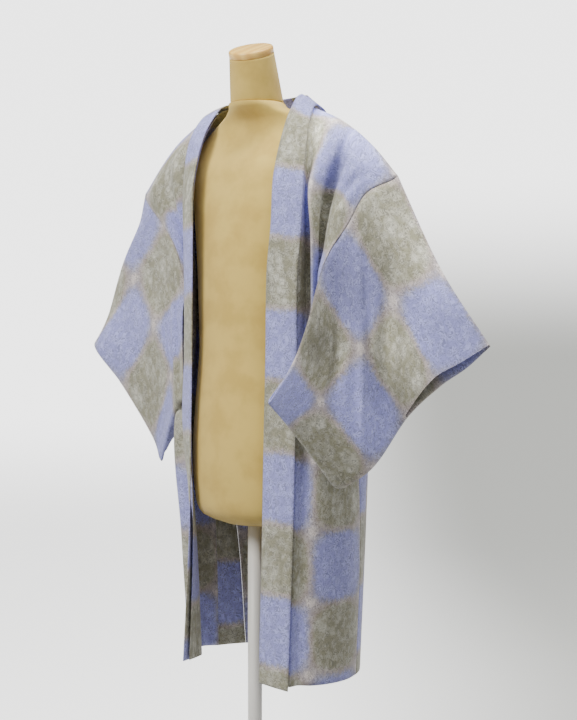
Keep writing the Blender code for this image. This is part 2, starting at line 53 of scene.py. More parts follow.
SILK = 0.0009            # thickness of the shown cloth
BAND = 0.0018            # thickness of the collar, which is folded double
SEAM_GAP = 0.0001        # least distance from the middle plane to an edge of the centre-back seam
SEAM_INSET = 0.0006      # how far a sleeve's or a gusset's edge stops short of its seam
SLEEVE_WIDTH = 0.330     # armhole seam to cuff
SLEEVE_DROP = 0.450      # shoulder fold to bottom edge
ARMHOLE = 0.235          # sewn length of the armhole, from the shoulder fold
CORNER_RADIUS = 0.018    # rounded outer corner of the sleeve's bottom
PANEL_WIDTH = 0.290      # body panel, from its inner edge to its side seam
COLLAR_WIDTH = 0.066     # finished collar
CHECK_WIDE = 0.165       # one check, across the cloth
CHECK_SPREAD = 0.95      # part of the printed width that shows on a sleeve, past the seams
CHECK_LONG = 0.1204      # one check, along the cloth
CLOTH_MAP = "cloth"      # name of the map that the silk is printed by
PAINTED_LIGHT_LAYER = "dye"              # name of the attribute that carries the painted light and shade
ROOT = "root"            # the part's one body
BODY_MIDDLE = 0.05       # how far behind the origin the middle of the wearer's body is
SHORTEST = 1e-4          # least step between two stations
FLAT = 1e-6              # a fold lower than this is left out
SAME = 1e-6              # points closer than this are one
SEWN = 1e-5              # and, where two layers are sewn together, closer than this


def named_rows(kind: type, *table: tuple) -> tuple:
    """Give each line of a table its columns' names."""
    return tuple(kind(*line) for line in table)


# ---------------------------------------------------------------- body panels
# One length of cloth from the back hem over the shoulder to the front hem.
#   back rows:  centre back seam ... side edge
#   front rows: edge under the collar, collar's free edge, slot behind it, crest, trough, ridge, side edge
# A side edge on the armhole is given by its place on the seam line, as in SeamRow.
class PanelRow(NamedTuple):
    """One station along a body panel; a side that is one number is a place on the armhole seam."""

    name: str
    edge: Point
    collar: Point
    slot: Point
    crest: Point
    trough: Point
    ridge: Point
    side: Point | float


PANEL_LEFT = named_rows(
    PanelRow,
    ("back hem", (.0010, .196, .368), (.025, .198, .368), (.052, .193, .368), (.078, .184, .368),
     (.099, .171, .368), (.116, .153, .368), (.128, .136, .368)),
    ("back skirt", (.0010, .201, .600), (.027, .203, .600), (.055, .198, .600), (.083, .190, .600),
     (.108, .176, .600), (.129, .154, .600), (.143, .129, .600)),
    ("back hip", (.0010, .196, .800), (.029, .198, .800), (.059, .193, .800), (.090, .183, .800),
     (.121, .165, .800), (.153, .132, .800), (.190, .068, .800)),
    ("back waist", (.0010, .185, .920), (.030, .187, .920), (.062, .182, .920), (.096, .171, .920),
     (.131, .150, .920), (.167, .110, .920), (.201, .020, .920)),
    ("back underarm", (.0010, .172, 1.040), (.032, .173, 1.040), (.067, .169, 1.040),
     (.104, .158, 1.039), (.141, .136, 1.038), (.176, .095, 1.036), -.230),
    ("back armhole", (.0010, .160, 1.135), (.036, .161, 1.135), (.074, .157, 1.134),
     (.113, .148, 1.132), (.152, .130, 1.130), (.191, .097, 1.127), -.120),
    ("back blade", (.0010, .142, 1.225), (.040, .142, 1.224), (.081, .138, 1.221),
     (.124, .128, 1.214), (.167, .112, 1.202), (.210, .086, 1.187), -.060),
    ("back yoke", (.0010, .117, 1.312), (.045, .116, 1.308), (.090, .108, 1.300),
     (.136, .096, 1.284), (.180, .082, 1.262), (.224, .065, 1.233), -.030),
    ("back neck", (.0010, .101, 1.347), (.052, .098, 1.350), (.098, .082, 1.340),
     (.142, .069, 1.319), (.184, .059, 1.292), (.229, .046, 1.253), -.012),
    ("neck side", (.078, .066, 1.352), (.104, .061, 1.345), (.130, .056, 1.335),
     (.158, .051, 1.320), (.192, .046, 1.295), (.234, .037, 1.257), -.004),
    ("shoulder", (.086, .041, 1.357), (.108, .041, 1.345), (.131, .040, 1.336),
     (.160, .038, 1.322), (.194, .036, 1.301), (.237, .031, 1.266), .000),
    ("front neck", (.092, .014, 1.345), (.118, .010, 1.329), (.142, .009, 1.321),
     (.166, .008, 1.307), (.197, .005, 1.284), (.238, .003, 1.249), .012),
    ("front yoke", (.101, -.026, 1.304), (.142, -.034, 1.289), (.158, -.030, 1.279),
     (.175, -.034, 1.271), (.203, -.022, 1.248), (.233, -.027, 1.216), .060),
    ("front chest", (.113, -.064, 1.222), (.155, -.067, 1.214), (.152, -.052, 1.206),
     (.178, -.074, 1.200), (.193, -.037, 1.184), (.214, -.046, 1.168), .120),
    ("front armhole", (.112, -.075, 1.140), (.158, -.074, 1.134), (.147, -.048, 1.128),
     (.182, -.075, 1.120), (.184, -.045, 1.112), (.198, -.058, 1.102), .180),
    ("front underarm", (.104, -.077, 1.060), (.151, -.075, 1.052), (.146, -.043, 1.046),
     (.176, -.067, 1.040), (.177, -.040, 1.036), (.188, -.066, 1.036), .226),
    ("front waist", (.100, -.075, .920), (.148, -.073, .920), (.150, -.051, .920),
     (.172, -.056, .920), (.180, -.034, .920), (.192, -.028, .920), (.199, -.016, .920)),
    ("front hip", (.095, -.073, .800), (.145, -.071, .800), (.151, -.053, .800),
     (.172, -.047, .800), (.182, -.023, .800), (.190, .006, .800), (.191, .034, .800)),
    ("front skirt", (.085, -.068, .600), (.138, -.069, .600), (.145, -.057, .600),
     (.164, -.044, .600), (.178, -.010, .600), (.179, .036, .600), (.166, .083, .600)),
    ("front hem", (.074, -.062, .370), (.127, -.067, .366), (.137, -.055, .368),
     (.156, -.042, .368), (.170, -.009, .368), (.171, .036, .368), (.157, .083, .368)),
)

PANEL_RIGHT = named_rows(
    PanelRow,
    ("back hem", (-.0010, .196, .378), (-.025, .198, .379), (-.052, .193, .380), (-.078, .184, .381),
     (-.099, .171, .382), (-.117, .153, .383), (-.131, .134, .384)),
    ("back skirt", (-.0010, .201, .600), (-.027, .203, .600), (-.055, .198, .600),
     (-.083, .190, .600), (-.108, .176, .600), (-.130, .153, .600), (-.146, .126, .600)),
    ("back hip", (-.0010, .196, .800), (-.029, .198, .800), (-.059, .193, .800),
     (-.090, .183, .800), (-.121, .166, .800), (-.150, .139, .800), (-.174, .099, .800)),
    ("back waist", (-.0010, .185, .920), (-.030, .187, .920), (-.062, .182, .920),
     (-.096, .171, .920), (-.129, .152, .920), (-.160, .120, .920), (-.182, .070, .920)),
    ("back underarm", (-.0010, .172, 1.040), (-.032, .173, 1.040), (-.067, .169, 1.040),
     (-.104, .158, 1.040), (-.139, .137, 1.040), (-.170, .103, 1.040), -.230),
    ("back armhole", (-.0010, .160, 1.135), (-.036, .161, 1.135), (-.074, .157, 1.135),
     (-.113, .148, 1.136), (-.151, .131, 1.137), (-.186, .102, 1.138), -.120),
    ("back blade", (-.0010, .142, 1.225), (-.040, .142, 1.224), (-.081, .138, 1.222),
     (-.124, .128, 1.216), (-.167, .112, 1.206), (-.209, .088, 1.193), -.060),
    ("back yoke", (-.0010, .117, 1.312), (-.045, .116, 1.309), (-.090, .108, 1.302),
     (-.136, .096, 1.289), (-.180, .082, 1.270), (-.225, .065, 1.243), -.030),
    ("back neck", (-.0010, .101, 1.347), (-.052, .098, 1.350), (-.098, .082, 1.342),
     (-.142, .069, 1.325), (-.184, .059, 1.303), (-.230, .046, 1.266), -.012),
    ("neck side", (-.088, .066, 1.364), (-.110, .062, 1.358), (-.134, .056, 1.348),
     (-.160, .051, 1.334), (-.192, .046, 1.311), (-.235, .037, 1.271), -.004),
    ("shoulder", (-.098, .041, 1.365), (-.118, .041, 1.358), (-.139, .040, 1.351),
     (-.163, .038, 1.340), (-.194, .036, 1.320), (-.238, .031, 1.280), .000),
    ("front neck", (-.099, .014, 1.350), (-.121, .014, 1.346), (-.143, .013, 1.336),
     (-.168, .012, 1.322), (-.199, .011, 1.300), (-.239, .012, 1.261), .012),
    ("front yoke", (-.096, -.026, 1.302), (-.125, -.017, 1.296), (-.146, -.008, 1.288),
     (-.174, -.013, 1.274), (-.201, -.006, 1.255), (-.233, -.008, 1.226), .060),
    ("front chest", (-.090, -.058, 1.222), (-.126, -.033, 1.218), (-.139, -.010, 1.212),
     (-.166, -.021, 1.202), (-.181, -.002, 1.194), (-.203, -.008, 1.184), .120),
    ("front armhole", (-.085, -.068, 1.140), (-.123, -.037, 1.137), (-.137, -.006, 1.133),
     (-.150, -.011, 1.130), (-.158, .002, 1.126), (-.166, -.009, 1.122), .180),
    ("front underarm", (-.083, -.071, 1.060), (-.120, -.038, 1.055), (-.139, .003, 1.050),
     (-.146, -.002, 1.046), (-.149, .014, 1.044), (-.150, -.004, 1.044), .226),
    ("front waist", (-.084, -.071, .920), (-.121, -.036, .920), (-.132, -.009, .920),
     (-.145, .004, .920), (-.156, .016, .920), (-.165, .026, .920), (-.174, .040, .920)),
    ("front hip", (-.086, -.071, .801), (-.123, -.038, .801), (-.141, -.016, .800),
     (-.184, -.005, .800), (-.191, .019, .799), (-.180, .045, .800), (-.171, .067, .800)),
    ("front skirt", (-.084, -.068, .599), (-.111, -.028, .599), (-.131, -.011, .600),
     (-.164, -.009, .599), (-.174, .019, .600), (-.167, .050, .600), (-.160, .082, .599)),
    ("front hem", (-.089, -.072, .387), (-.102, -.025, .388), (-.123, -.007, .386),
     (-.155, .001, .385), (-.164, .024, .386), (-.159, .050, .387), (-.151, .079, .385)),
)

# ---------------------------------------------------------------- sleeves
# Inner edge of the sleeve by its distance from the shoulder fold: below zero at the back, above zero at the
# front.  As far as ARMHOLE each way it is the seam line that the body and the sleeve share; beyond, it
# hangs free down to the sleeve's bottom corner.
class SeamRow(NamedTuple):
    """One point on the sleeve's inner edge."""

    drop: float
    point: Point


SEAM_LEFT = named_rows(
    SeamRow,
    (-.450, (.2115, -.2290, .847)), (-.359, (.197, -.130, .914)),
    (-.295, (.207, -.066, .972)), (-.235, (.205, .000, 1.034)),
    (-.120, (.232, .040, 1.132)), (-.060, (.262, .048, 1.182)),
    (-.012, (.281, .031, 1.2125)), (.000, (.2835, .026, 1.2180)),
    (.012, (.2795, .019, 1.2120)), (.060, (.2505, -.0175, 1.188)),
    (.120, (.230, -.040, 1.136)), (.180, (.210, -.063, 1.091)),
    (.235, (.1945, -.076, 1.040)), (.295, (.205, -.117, .975)),
    (.359, (.213, -.165, .911)), (.450, (.216, -.231, .846)),
)
SEAM_RIGHT = named_rows(
    SeamRow,
    (-.450, (-.141, -.026, .845)), (-.359, (-.166, -.003, .940)),
    (-.295, (-.193, .028, .995)), (-.235, (-.189, .043, 1.040)),
    (-.120, (-.224, .056, 1.146)), (-.060, (-.258, .056, 1.190)),
    (-.012, (-.2805, .031, 1.2205)), (.000, (-.2835, .026, 1.2260)),
    (.012, (-.2805, .020, 1.2185)), (.060, (-.254, .006, 1.196)),
    (.120, (-.215, -.001, 1.159)), (.180, (-.173, -.015, 1.116)),
    (.235, (-.150, -.016, 1.050)), (.295, (-.145, -.027, .996)),
    (.359, (-.142, -.031, .935)), (.450, (-.136, -.033, .845)),
)

# Front and back layers of a sleeve, each on its middle line and its cuff line.
class SleeveRow(NamedTuple):
    """One station down the sleeve: its front and back layers on two lines."""

    drop: float
    middle: Point
    cuff: Point
    back_middle: Point
    back_cuff: Point


SLEEVE_LEFT = named_rows(
    SleeveRow,
    (.000, (.360, .040, 1.060), (.444, .051, .937), (.356, .045, 1.060), (.443, .057, .935)),
    (.060, (.330, .013, 1.036), (.400, .037, .909), (.304, .043, 1.036), (.394, .065, .900)),
    (.118, (.301, -.014, 1.011), (.358, .023, .884), (.264, .028, 1.011), (.350, .060, .872)),
    (.235, (.268, -.057, .933), (.305, .019, .824), (.227, -.010, .933), (.302, .032, .820)),
    (.359, (.224, -.110, .847), (.247, .002, .737), (.195, -.077, .847), (.245, .011, .734)),
    (.450, (.190, -.149, .807), (.200, -.030, .695), (.185, -.143, .807), (.198, -.023, .693)),
)
SLEEVE_RIGHT = named_rows(
    SleeveRow,
    (.000, (-.379, .097, 1.108), (-.458, .150, .988), (-.380, .101, 1.104), (-.458, .154, .984)),
    (.070, (-.369, .054, 1.100), (-.462, .096, .962), (-.384, .122, 1.044), (-.457, .160, .920)),
    (.140, (-.310, .037, 1.053), (-.438, .045, .938), (-.354, .124, .985), (-.430, .125, .868)),
    (.235, (-.246, .011, .980), (-.370, .047, .869), (-.292, .112, .898), (-.369, .058, .860)),
    (.359, (-.196, -.001, .884), (-.288, .048, .768), (-.225, .070, .822), (-.287, .054, .763)),
    (.450, (-.183, -.009, .818), (-.262, .042, .720), (-.186, .000, .813), (-.262, .046, .717)),
)

# ---------------------------------------------------------------- collar
# Inner line is the fold at the neck opening; outer line is the free edge over the body.
class CollarRow(NamedTuple):
    """One station along the collar strip."""

    name: str
    inner: Point
    outer: Point


COLLAR_LEFT = named_rows(
    CollarRow,
    ("centre back", (.000, .103, 1.385), (.000, .135, 1.347)),
    ("back neck", (.042, .092, 1.384), (.060, .122, 1.350)),
    ("neck corner", (.063, .066, 1.375), (.090, .082, 1.352)),
    ("shoulder", (.071, .040, 1.376), (.103, .042, 1.355)),
    ("front neck", (.080, .012, 1.362), (.124, .003, 1.338)),
    ("yoke", (.091, -.031, 1.311), (.149, -.042, 1.296)),
    ("chest", (.101, -.073, 1.225), (.1655, -.0755, 1.215)),
    ("armhole", (.103, -.083, 1.140), (.166, -.0825, 1.134)),
    ("underarm", (.095, -.084, 1.060), (.158, -.083, 1.052)),
    ("waist", (.091, -.082, .920), (.1555, -.081, .918)),
    ("hip", (.086, -.080, .800), (.1515, -.079, .797)),
    ("skirt", (.077, -.0745, .600), (.143, -.076, .597)),
    ("hem", (.065, -.068, .366), (.131, -.0735, .360)),
)
COLLAR_RIGHT = named_rows(
    CollarRow,
    ("centre back", (.000, .103, 1.385), (.000, .135, 1.347)),
    ("back neck", (-.044, .096, 1.382), (-.059, .121, 1.346)),
    ("neck corner", (-.075, .072, 1.372), (-.104, .085, 1.355)),
    ("shoulder", (-.088, .041, 1.373), (-.119, .043, 1.3615)),
    ("front neck", (-.090, .011, 1.361), (-.126, .010, 1.3510)),
    ("yoke", (-.088, -.034, 1.308), (-.131, -.0245, 1.301)),
    ("chest", (-.082, -.069, 1.224), (-.130, -.041, 1.218)),
    ("armhole", (-.076, -.0785, 1.140), (-.1265, -.0445, 1.137)),
    ("underarm", (-.074, -.081, 1.060), (-.1235, -.0455, 1.055)),
    ("waist", (-.075, -.081, .920), (-.125, -.044, .919)),
    ("hip", (-.077, -.081, .800), (-.127, -.0455, .799)),
    ("skirt", (-.081, -.081, .601), (-.117, -.028, .599)),
    ("hem", (-.090, -.086, .387), (-.108, -.023, .385)),
)

# ---------------------------------------------------------------- dress form
class FormRow(NamedTuple):
    """One level of the padded torso."""

    z: float
    half_width: float
    half_depth: float
    centre_y: float


FORM = named_rows(
    FormRow,
    (.625, .060, .045, .014), (.640, .112, .082, .016), (.680, .130, .097, .018),
    (.760, .134, .101, .018), (.850, .128, .097, .018), (.930, .120, .090, .016),
    (1.020, .125, .090, .018), (1.110, .135, .092, .024), (1.190, .150, .088, .030),
    (1.250, .162, .076, .034), (1.290, .158, .058, .038), (1.315, .136, .046, .036),
    (1.335, .100, .042, .028), (1.350, .060, .046, .012), (1.362, .0495, .0495, .005),
)


# ---------------------------------------------------------------- curves and meshes
def channel(values: Sequence[float], stations: Sequence[float], at: float) -> float:
    """Read a smooth curve through one row of numbers.

    Args:
        values: the numbers the curve passes through.
        stations: where each number stands along the curve.
        at: the station to read.

    Returns:
        The curve's number at that station.
    """
    last = len(stations) - 1
    index = 0
    while index < last - 1 and at > stations[index + 1]:
        index += 1
    span = stations[index + 1] - stations[index]
    t = (at - stations[index]) / span

    def slope(k: int) -> float:
        """Slope of the curve at a station."""
        low, high = max(k - 1, 0), min(k + 1, last)
        return (values[high] - values[low]) / (stations[high] - stations[low])

    start, end = values[index], values[index + 1]
    t2, t3 = t * t, t * t * t
    return ((2 * t3 - 3 * t2 + 1) * start + (t3 - 2 * t2 + t) * slope(index) * span
            + (3 * t2 - 2 * t3) * end + (t3 - t2) * slope(index + 1) * span)


def curve(points: Sequence[Point], stations: Sequence[float], at: float) -> Vector:
    """Read a smooth 3-D curve through points at one station."""
    return Vector([channel([point[axis] for point in points], stations, at) for axis in range(3)])


def spread(points: Sequence[Point]) -> list[float]:
    """Distance along a chain of points, for use as its stations.

    Args:
        points: the chain.

    Returns:
        The distance of each point from the first.
    """
    stations = [0.0]
    for before, after in zip(points, points[1:]):
        stations.append(stations[-1] + max((Vector(after) - Vector(before)).length, SHORTEST))
    return stations


def ramp(knots: Sequence[float], values: Sequence[float], at: float) -> float:
    """Read straight lines between knots at one place.

    Args:
        knots: where the lines meet, in rising order.
        values: the number at each knot.
        at: the place to read.

    Returns:
        The number there; past the last knot it stays as it is.
    """
    for low, high, start, end in zip(knots, knots[1:], values, values[1:]):
        if at <= high:
            return start + (end - start) * (at - low) / (high - low)
    return values[-1]


def even(count: int) -> list[float]:
    """Fractions from 0 to 1 in equal steps."""
    return [index / (count - 1) for index in range(count)]


def turns(count: int) -> list[Place]:
    """Cosine and sine of each equal step round a circle."""
    return [(math.cos(a), math.sin(a)) for a in (2 * math.pi * k / count for k in range(count))]


def hump(distance: float) -> float:
    """Smooth hump: 1 at no distance, 0 from a distance of 1 on."""
    return (1 - distance * distance) ** 2 if abs(distance) < 1 else 0.0


def patch(place: Place, middle: Place, reach: Place) -> float:
    """Soft patch on the cloth map: 1 in its middle, 0 from its reach on."""
    return hump((place[0] - middle[0]) / reach[0]) * hump((place[1] - middle[1]) / reach[1])


@dataclass(frozen=True)
class Crease:
    """One soft fold, drawn on the cloth map and raised along the cloth's normal."""

    path: Sequence[Place]          # from one end of the fold to the other
    depth: float                   # its height, below zero for a hollow
    width: float                   # reach of each flank
    fade: float = 0.6              # how fast it rises from its ends: the lower, the faster

    def raised(self, across: float, along: float) -> float:
        """Height that the fold gives one place on the map.

        Args:
            across: metres across the cloth.
            along: metres along the cloth.

        Returns:
            The height in metres, along the cloth's normal.
        """
        order = sorted((place[1], place[0]) for place in self.path)
        low, high = order[0][0], order[-1][0]
        if not low < along < high:
            return 0.0
        middle = ramp([knot for knot, _ in order], [value for _, value in order], along)
        height = self.depth * math.sin(math.pi * (along - low) / (high - low)) ** self.fade
        return height * hump((across - middle) / self.width)


@dataclass(frozen=True)
class Flutes:
    """A run of soft folds side by side, drawn on the cloth map, with a second wave to make them uneven."""

    across: Place                  # the run's limits across the cloth
    along: Place                   # and along it
    count: float                   # folds side by side
    depth: float                   # half of their height from crest to hollow
    start: float = 0.0             # part of a fold that is past at the first limit
    fade: float = 0.4              # how fast they rise from their ends: the lower, the faster
    second: float = 0.35           # size of the second wave, as part of the first
    closer: float = 1.7            # how much closer its folds stand
    ahead: float = 1.3             # how far on it starts, in radians

    def raised(self, across: float, along: float) -> float:
        """Height that the folds give one place on the map.

        Args:
            across: metres across the cloth.
            along: metres along the cloth.

        Returns:
            The height in metres, along the cloth's normal.
        """
        (near, far), (low, high) = self.across, self.along
        part = (along - low) / (high - low)
        place = (across - near) / (far - near)
        if not 0 < part < 1 or not 0 < place < 1:
            return 0.0
        fade = (math.sin(math.pi * part) * math.sin(math.pi * place)) ** self.fade
        wave = 2 * math.pi * (self.count * place + self.start)
        return self.depth * fade * (math.sin(wave) + self.second * math.sin(self.closer * wave + self.ahead))


Fold = Crease | Flutes


@dataclass(frozen=True)
class Pull:
    """A place on the cloth map where the printed checks sit off the even grid."""

    place: Place
    reach: Place
    shift: Place

    def moved(self, across: float, along: float) -> Place:
        """Map place after the pull."""
        near = patch((across, along), self.place, self.reach)
        return across + near * self.shift[0], along + near * self.shift[1]


@dataclass(frozen=True)
class Tone:
    """A soft patch on the cloth map of painted light or painted shade, where the colour is made lighter or
    darker to stand in for how the light falls.
    """

    place: Place
    reach: Place
    gain: float                    # share of painted light added, below zero where the patch is painted shade

    def at(self, across: float, along: float) -> float:
        """Gain at one place on the map."""
        return self.gain * patch((across, along), self.place, self.reach)


@dataclass(frozen=True)
class Lay:
    """Where a piece was cut from the checked cloth: added to its across and along measures."""

    across: float
    along: float


class Sheet:
    """A grid of points that becomes one piece of cloth with its map."""

    def __init__(self, rows: int, columns: int) -> None:
        """Start an empty sheet.

        Args:
            rows: points along it.
            columns: points across it.
        """
        self.rows, self.columns = rows, columns
        self.points = [[Vector() for _ in range(columns)] for _ in range(rows)]
        self.map = [[(0.0, 0.0) for _ in range(columns)] for _ in range(rows)]
        # painted light and shade at each point: 1 where there is none
        self.dye = [[1.0] * columns for _ in range(rows)]

    def put(self, row: int, column: int, point: Vector, across: float, along: float) -> None:
        """Place one point and say where it is on the cloth."""
        self.points[row][column] = point
        self.map[row][column] = (across, along)

    def remap(self, turned: Callable[[float, float], Place]) -> None:
        """Change every place on the map by one rule."""
        self.map = [[turned(*place) for place in line] for line in self.map]

    def cut_from(self, lay: Lay) -> None:
        """Say where the piece was cut from the checked cloth."""
        self.remap(lambda across, along: (across + lay.across, along + lay.along))

    def fold(self, creases: Sequence[Fold], sign: int) -> None:
        """Raise the creases along the sheet's normals.

        Args:
            creases: the folds to raise.
            sign: 1 if across, then along, turns to the outside of the cloth, else -1.
        """
        raised = []
        for row, line in enumerate(self.points):
            below, above = self.points[max(row - 1, 0)], self.points[min(row + 1, self.rows - 1)]
            moved = []
            for column, point in enumerate(line):
                height = sum(crease.raised(*self.map[row][column]) for crease in creases)
                if abs(height) > FLAT:
                    over = line[min(column + 1, self.columns - 1)] - line[max(column - 1, 0)]
                    along = above[column] - below[column]
                    point = point + over.cross(along).normalized() * (height * sign)
                moved.append(point)
            raised.append(moved)
        self.points = raised

    def tone(self, tones: Sequence[Tone]) -> None:
        """Paint light and shade into the colour in patches."""
        self.dye = [[1.0 + sum(tone.at(*place) for tone in tones) for place in line] for line in self.map]

    def mesh(self) -> bmesh.types.BMesh:
        """Make the sheet a mesh of quads.

        Returns:
            The mesh, with the cloth map on its corners and the painted light and shade on its points.
        """
        bm = bmesh.new()
        bmesh.ops.create_grid(bm, x_segments=self.columns - 1, y_segments=self.rows - 1, size=1.0)
        places = {vert.index: (round((vert.co.y + 1.0) / 2.0 * (self.rows - 1)),
                               round((vert.co.x + 1.0) / 2.0 * (self.columns - 1))) for vert in bm.verts}
        uv = bm.loops.layers.uv.new(CLOTH_MAP)
        for face in bm.faces:
            for loop in face.loops:
                row, column = places[loop.vert.index]
                loop[uv].uv = self.map[row][column]
        dye = bm.verts.layers.float.new(PAINTED_LIGHT_LAYER)
        for vert in bm.verts:
            row, column = places[vert.index]
            vert.co = self.points[row][column]
            vert[dye] = self.dye[row][column]
        return bm


def spun(profile: Sequence[Place], steps: int) -> bmesh.types.BMesh:
    """Spin a profile about the Z axis.

    Args:
        profile: (radius, height) points, from one end to the other.
        steps: faces in one ring.

    Returns:
        The mesh, with its faces looking one way.
    """
    bm = bmesh.new()
    verts = [bm.verts.new((radius, 0.0, height)) for radius, height in profile]
    edges = [bm.edges.new(pair) for pair in zip(verts, verts[1:])]
    bmesh.ops.spin(bm, geom=verts + edges, cent=(0, 0, 0), axis=(0, 0, 1), dvec=(0, 0, 0),
                   angle=2 * math.pi, steps=steps, use_merge=True)
    bmesh.ops.remove_doubles(bm, verts=bm.verts, dist=SAME)
    bmesh.ops.recalc_face_normals(bm, faces=bm.faces)
    return bm


def finish_piece(bm: bmesh.types.BMesh, name: str, finish: bpy.types.Material,
                 outward: Optional[Callable[[Vector], Vector]] = None) -> bpy.types.Object:
    """Turn a mesh into a smooth-shaded piece that rides on the part.

    Args:
        bm: the mesh, which is used up.
        name: the piece's name.
        finish: its material.
        outward: gives a direction that the face nearest a point should look in; faces stay as they are
            without it.

    Returns:
        The new object.
    """
    bm.normal_update()
    if outward is not None:
        lean = sum(face.normal.dot(outward(face.calc_center_median())) * face.calc_area()
                   for face in bm.faces)
        if lean < 0:
            bmesh.ops.reverse_faces(bm, faces=bm.faces)
    mesh = bpy.data.meshes.new(name)
    bm.to_mesh(mesh)
    bm.free()
    mesh.materials.append(finish)
    mesh.shade_smooth()
    piece = bpy.data.objects.new(name, mesh)
    bpy.context.scene.collection.objects.link(piece)
    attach(piece, ROOT)
    LOG.info("%s: %d faces, %.4f square metres", name, len(mesh.polygons),
             sum(face.area for face in mesh.polygons))
    return piece


def wall(piece: bpy.types.Object, thickness: float) -> None:
    """Give a sheet its thickness, outwards from its inner face.

    Args:
        piece: the sheet.
        thickness: metres through the cloth.
    """
    made = piece.modifiers.new("Wall", "SOLIDIFY")
    made.thickness = thickness
    made.offset = 1.0
    made.use_even_offset = False


# ---------------------------------------------------------------- finishes
def linear(code: str) -> tuple[float, float, float, float]:
    """Turn an sRGB hex value into a linear colour.

    Args:
        code: the value, as # and six digits.

    Returns:
        Red, green, blue and a full alpha.
    """
    parts = [int(code[k:k + 2], 16) / 255 for k in (1, 3, 5)]
    turned = [c / 12.92 if c <= 0.04045 else ((c + 0.055) / 1.055) ** 2.4 for c in parts]
    return (*turned, 1.0)


class Span(NamedTuple):
    """A range of values, and the range that it is mapped onto."""

    low: float
    high: float
    to_low: float = 0.0
    to_high: float = 1.0


class Graph:
    """A material's node tree."""

    def __init__(self, name: str) -> None:
        """Start a material with only its shader and output.

        Args:
            name: the material's name.
        """
        self.material = bpy.data.materials.new(name)
        self.material.use_nodes = True
        self.tree = self.material.node_tree
        self.shader = self.tree.nodes["Principled BSDF"]

    def feed(self, socket: bpy.types.NodeSocket, value: object) -> None:
        """Link an input to another node's output, or set it to a value.

        Args:
            socket: the input.
            value: the output, or the value.
        """
        if isinstance(value, bpy.types.NodeSocket):
            self.tree.links.new(value, socket)
        else:
            socket.default_value = value

    def add(self, kind: str, settings: Optional[dict] = None, **inputs: object) -> bpy.types.Node:
        """Add a node.

        Args:
            kind: the node's type, without its ShaderNode prefix.
            settings: properties of the node itself.
            **inputs: values or sockets for its inputs; i0, i1 and so on are inputs by number, and
                any other name is the input's own with _ for a space.

        Returns:
            The new node.
        """
        node = self.tree.nodes.new("ShaderNode" + kind)
        for key, value in (settings or {}).items():
            setattr(node, key, value)
        for key, value in inputs.items():
            self.feed(node.inputs[int(key[1:]) if key[1:].isdigit() else key.replace("_", " ")], value)
        return node

    def surface(self, **inputs: object) -> None:
        """Link or set the shader's own inputs, each by its name with _ for a space."""
        for key, value in inputs.items():
            self.feed(self.shader.inputs[key.replace("_", " ")], value)

    def bump(self, height: bpy.types.NodeSocket, strength: float, depth: float) -> None:
        """Raise the surface's fine texture by a height, over a depth in metres."""
        node = self.add("Bump", Strength=strength, Distance=depth, Height=height)
        self.surface(Normal=node.outputs[0])

    def maths(self, operation: str, first: object, second: object = 0.0) -> bpy.types.NodeSocket:
        """Add one sum and return its result."""
        return self.add("Math", {"operation": operation}, i0=first, i1=second).outputs[0]

    def times(self, first: object, second: object) -> bpy.types.NodeSocket:
        """Multiply two numbers."""
        return self.maths("MULTIPLY", first, second)

    def plus(self, first: object, second: object) -> bpy.types.NodeSocket:
        """Add two numbers."""
        return self.maths("ADD", first, second)

    def blend(self, factor: object, first: object, second: object, how: str = "MIX") -> bpy.types.NodeSocket:
        """Mix the second colour into the first by a factor and return the result."""
        return self.add("Mix", {"data_type": "RGBA", "blend_type": how}, i0=factor, i6=first,
                        i7=second).outputs[2]

    def span(self, value: object, span: Span, smooth: bool = True) -> bpy.types.NodeSocket:
        """Map a number from one range onto another, clamped; smooth eases it in and out."""
        kind = {"interpolation_type": "SMOOTHSTEP" if smooth else "LINEAR"}
        return self.add("MapRange", kind, i0=value, i1=span.low, i2=span.high, i3=span.to_low,
                        i4=span.to_high).outputs[0]

    def grey(self, value: bpy.types.NodeSocket) -> bpy.types.NodeSocket:
        """Turn a number into a grey of that brightness."""
        return self.add("CombineColor", i0=value, i1=value, i2=value).outputs[0]

    def place(self) -> bpy.types.NodeSocket:
        """Object coordinates."""
        return self.add("TexCoord").outputs["Object"]


